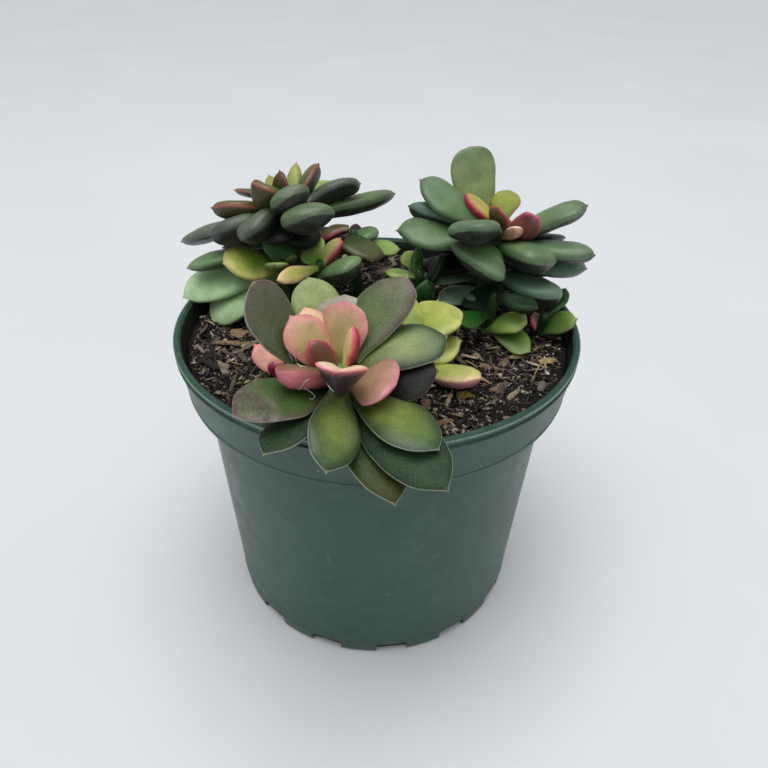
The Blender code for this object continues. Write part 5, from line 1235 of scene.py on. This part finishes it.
# larger bark chips, some where the photograph shows them
b = Build()
CHIP_SPOTS = [
    # x, y, length, width, yaw, colour
    (-36.5, -2.0, 7.5, 3.6, -10, (168, 140, 100)), (-31.5, 1.0, 6.5, 2.4, 60, (150, 118, 78)),
    (-24.0, -2.5, 8.0, 4.6, -25, (150, 116, 104)), (-38.5, -8.0, 8.5, 1.6, 12, (158, 134, 96)),
    (-28.5, -12.5, 5.0, 1.6, -10, (196, 170, 104)), (-24.5, -15.0, 4.6, 1.8, -50, (160, 124, 80)),
    (-24.0, -24.0, 6.0, 1.4, 5, (178, 146, 104)), (-27.0, -27.0, 4.6, 2.2, 20, (184, 150, 96)),
    (44.2, -13.6, 6.4, 2.6, 44, (206, 176, 122)), (37.0, -10.0, 5.0, 2.0, 20, (168, 140, 96)), (41.0, -24.5, 4.6, 2.0, 70, (134, 122, 110)), (29.0, -15.0, 6.5, 1.8, -15, (150, 122, 96)),
    (33.5, -12.0, 4.6, 2.2, 60, (128, 108, 88)), (21.0, -14.0, 7.0, 1.8, -60, (120, 100, 78)),
    (26.0, -21.0, 6.0, 1.4, -40, (166, 138, 104)), (43.0, -6.0, 8.0, 1.6, 30, (104, 84, 66)),
    (40.0, -14.0, 7.0, 1.5, 38, (92, 74, 60)), (22.0, -28.0, 4.6, 2.4, 0, (176, 150, 66)),
    (12.0, -33.0, 5.0, 2.0, 70, (130, 100, 74)), (16.0, -38.0, 5.4, 1.6, 20, (150, 116, 78)),
    (30.0, -26.0, 5.0, 2.0, 40, (160, 128, 92)), (46.0, 3.0, 5.0, 1.6, 75, (170, 140, 104)),
    (0.0, 12.0, 3.6, 1.8, 30, (196, 176, 140)), (4.0, 16.0, 3.4, 1.6, -40, (178, 156, 120)),
    (-34.0, 8.0, 6.0, 2.2, -40, (84, 68, 56)), (-42.0, 3.0, 6.0, 2.0, 55, (96, 78, 62)),
    (2.0, 36.0, 6.0, 2.4, 20, (120, 96, 72)), (18.0, 38.0, 5.0, 2.0, -50, (150, 122, 90)), (-14.0, 41.0, 6.0, 2.2, 80, (104, 84, 64)),
    (-34.0, 33.0, 5.4, 2.0, 10, (140, 112, 84)), (38.0, 30.0, 5.4, 2.4, -20, (120, 98, 76)),
]
for x, y, length, width, yaw, colour in CHIP_SPOTS:
    z = soil_height(x, y) + 0.55
    add_sliver(b, x, y, z, length, width, 0.9, math.radians(yaw), rng.normal(0, 0.12), rng.normal(0, 0.25), linear(colour), rng.uniform(-0.1, 0.2), 9)
for i in range(330):
    x, y = spot(48.0)
    length = rng.uniform(2.4, 6.0)
    # the chip's tint takes the painted shade between the plants
    tint = pick((DARK, MID, PALE), (0.36, 0.42, 0.22)) * rng.uniform(0.75, 1.1) * between_plants_shade(x, y)
    yaw = rng.uniform(0, 6.28)
    if math.hypot(x, y) + 0.5 * length > 50.4:
        yaw = math.atan2(y, x) + math.pi / 2.0 + rng.normal(0, 0.25)
    pitch = rng.normal(0, 0.30)
    z = soil_height(x, y) + 0.45 + 0.16 * length * abs(math.sin(pitch))
    add_sliver(b, x, y, z, length, length * rng.uniform(0.16, 0.42), rng.uniform(0.4, 0.9), yaw, pitch, rng.normal(0, 0.5), tint, rng.uniform(-0.1, 0.25), 7)
settle(b.object("bark_chips", [CHIPS], smooth=False), "soil")

# a twig and a withered bit behind, a dry stalk at the right
def along_soil(points, lift):
    return [(x, y, soil_height(x, y) + lift) for x, y in points]


b = Build()
twig = along_soil([(10.4, 44.6), (12.6, 42.4), (14.6, 39.8), (17.0, 36.8), (19.6, 34.0)], 0.9)
add_tube(b, twig, [0.34, 0.52, 0.44, 0.50, 0.26], 8, 0, 0.10, 31, tint_top=np.tile(linear((40, 28, 26)), (40, 1)))
dry = along_soil([(16.0, 42.6), (17.4, 41.0), (18.6, 39.6), (19.6, 37.8)], 1.0)
add_tube(b, dry, [0.25, 0.85, 0.95, 0.30], 8, 0, 0.16, 33, tint_top=np.tile(linear((206, 166, 148)), (32, 1)))
stalk = along_soil([(43.4, -15.2), (41.6, -16.6), (40.4, -18.6), (39.8, -20.8), (38.6, -22.6)], 0.9)
add_tube(b, stalk, [0.26, 0.20, 0.22, 0.18, 0.12], 6, 0, 0.10, 35, tint_top=np.tile(linear((196, 172, 134)), (30, 1)))
settle(b.object("dry_bits", [CHIPS]), "soil")

# ------------------------------------------------------------------ stray fibres
# Thin pale hairs that lie over the front leaves, as places in the picture.
FIBRES = [
    ((309.8, 378.6), (305.7, 381.1), (302.7, 384.7), (300.6, 388.0), (299.1, 389.8), (296.3, 388.3)),
    ((302.7, 386.7), (307.8, 390.1), (312.3, 393.1), (314.9, 395.9), (314.4, 398.2), (311.8, 399.5), (309.3, 398.2)),
    ((325.6, 381.6), (328.2, 385.2), (331.2, 389.3), (333.8, 391.8)),
    ((288.9, 353.1), (291.4, 357.7), (293.0, 361.2)),
    ((294.0, 355.6), (295.5, 359.2), (297.0, 363.4), (301.0, 366.4), (307.0, 366.6)),
]
skins = [BVHTree.FromPolygons([v.co[:] for v in ob.data.vertices], [tuple(f.vertices) for f in ob.data.polygons])
         for ob in bpy.context.scene.objects if ob.type == "MESH" and ob.name.endswith("_skin")]
b = Build()
for i, path in enumerate(FIBRES):
    laid, depth = [], None
    for j in range(4 * (len(path) - 1) + 1):
        k, t = min(j // 4, len(path) - 2), j / 4.0 - min(j // 4, len(path) - 2)
        x = path[k][0] * (1 - t) + path[k + 1][0] * t
        y = path[k][1] * (1 - t) + path[k + 1][1] * t
        ray = (right * ((x - PHOTO / 2) / FOCAL_PX) + up * ((PHOTO / 2 - y) / FOCAL_PX) - back).normalized()
        hits = [h[3] for h in (tree.ray_cast(eye * MM, ray) for tree in skins) if h[3] is not None]
        far = min(hits) / MM if hits else depth
        # a hair bridges the gaps between two leaves
        depth = far if depth is None else min(max(far, depth - 1.2), depth + 0.25)
        laid.append(eye + ray * (min(depth, far) - 0.30))
    laid = [laid[0]] + [(laid[m - 1] + laid[m] * 2.0 + laid[m + 1]) / 4.0 for m in range(1, len(laid) - 1)] + [laid[-1]]
    laid = np.array([p[:] for p in laid])
    radii = 0.12 * np.sqrt(np.sin(np.linspace(0.25, math.pi - 0.25, len(laid))))
    add_tube(b, laid, radii, 6, 0, 0.05, 60 + i)
settle(b.object("stray_fibres", [FIBRE]), next(s["material_slot"] for s in frame["record"]["subparts"] if s["node"] == "front_leaf_near_left"))

# ------------------------------------------------------------------ light and floor
floor_nodes = Nodes("floor_paper")
fp = floor_nodes.coords(scale=1.0)
fa = floor_nodes.noise(fp, 9.0, 4.0, 0.6)
floor_colour = floor_nodes.mix(floor_nodes.span(fa, 0.3, 0.7), linear((230, 234, 238)), linear((233, 237, 240)))
floor_nodes.finish(floor_colour, floor_nodes.span(fa, 0.2, 0.8, 0.55, 0.62))
floor_nodes.shader.inputs["Specular IOR Level"].default_value = 0.25
b = Build()
b.add([(-4000, -4000, 0), (4000, -4000, 0), (4000, 4000, 0), (-4000, 4000, 0)], [(0, 1, 2, 3)])
floor = b.object("floor", [floor_nodes.material], smooth=False)
floor.location.z = -0.00005

world = bpy.data.worlds.new("studio")
bpy.context.scene.world = world
world.use_nodes = True
background = world.node_tree.nodes["Background"]
background.inputs["Color"].default_value = (0.965, 0.982, 1.0, 1.0)
background.inputs["Strength"].default_value = 0.40


def softbox(name, place, aim, size, power, colour):
    data = bpy.data.lights.new(name, "AREA")
    data.shape = "RECTANGLE"
    data.size, data.size_y = size
    data.energy = power
    data.color = colour
    ob = bpy.data.objects.new(name, data)
    ob.location = place
    ob.rotation_euler = (Vector(place) - Vector(aim)).to_track_quat("Z", "Y").to_euler()
    bpy.context.scene.collection.objects.link(ob)
    return ob


def sun(name, azimuth, elevation, strength, angle, colour):
    data = bpy.data.lights.new(name, "SUN")
    data.energy = strength
    data.angle = math.radians(angle)
    data.color = colour
    ob = bpy.data.objects.new(name, data)
    a, e = math.radians(azimuth), math.radians(elevation)
    direction = Vector((math.cos(a) * math.cos(e), math.sin(a) * math.cos(e), math.sin(e)))
    ob.rotation_euler = direction.to_track_quat("Z", "Y").to_euler()
    bpy.context.scene.collection.objects.link(ob)
    return ob


sun("overhead", -115, 80, 1.20, 60, (1.0, 0.99, 0.98))
softbox("key", (-0.03, 0.02, 0.95), (0.0, 0.0, 0.10), (0.70, 0.45), 2.2, (1.0, 0.99, 0.97))
bpy.context.scene.view_settings.view_transform = "Standard"
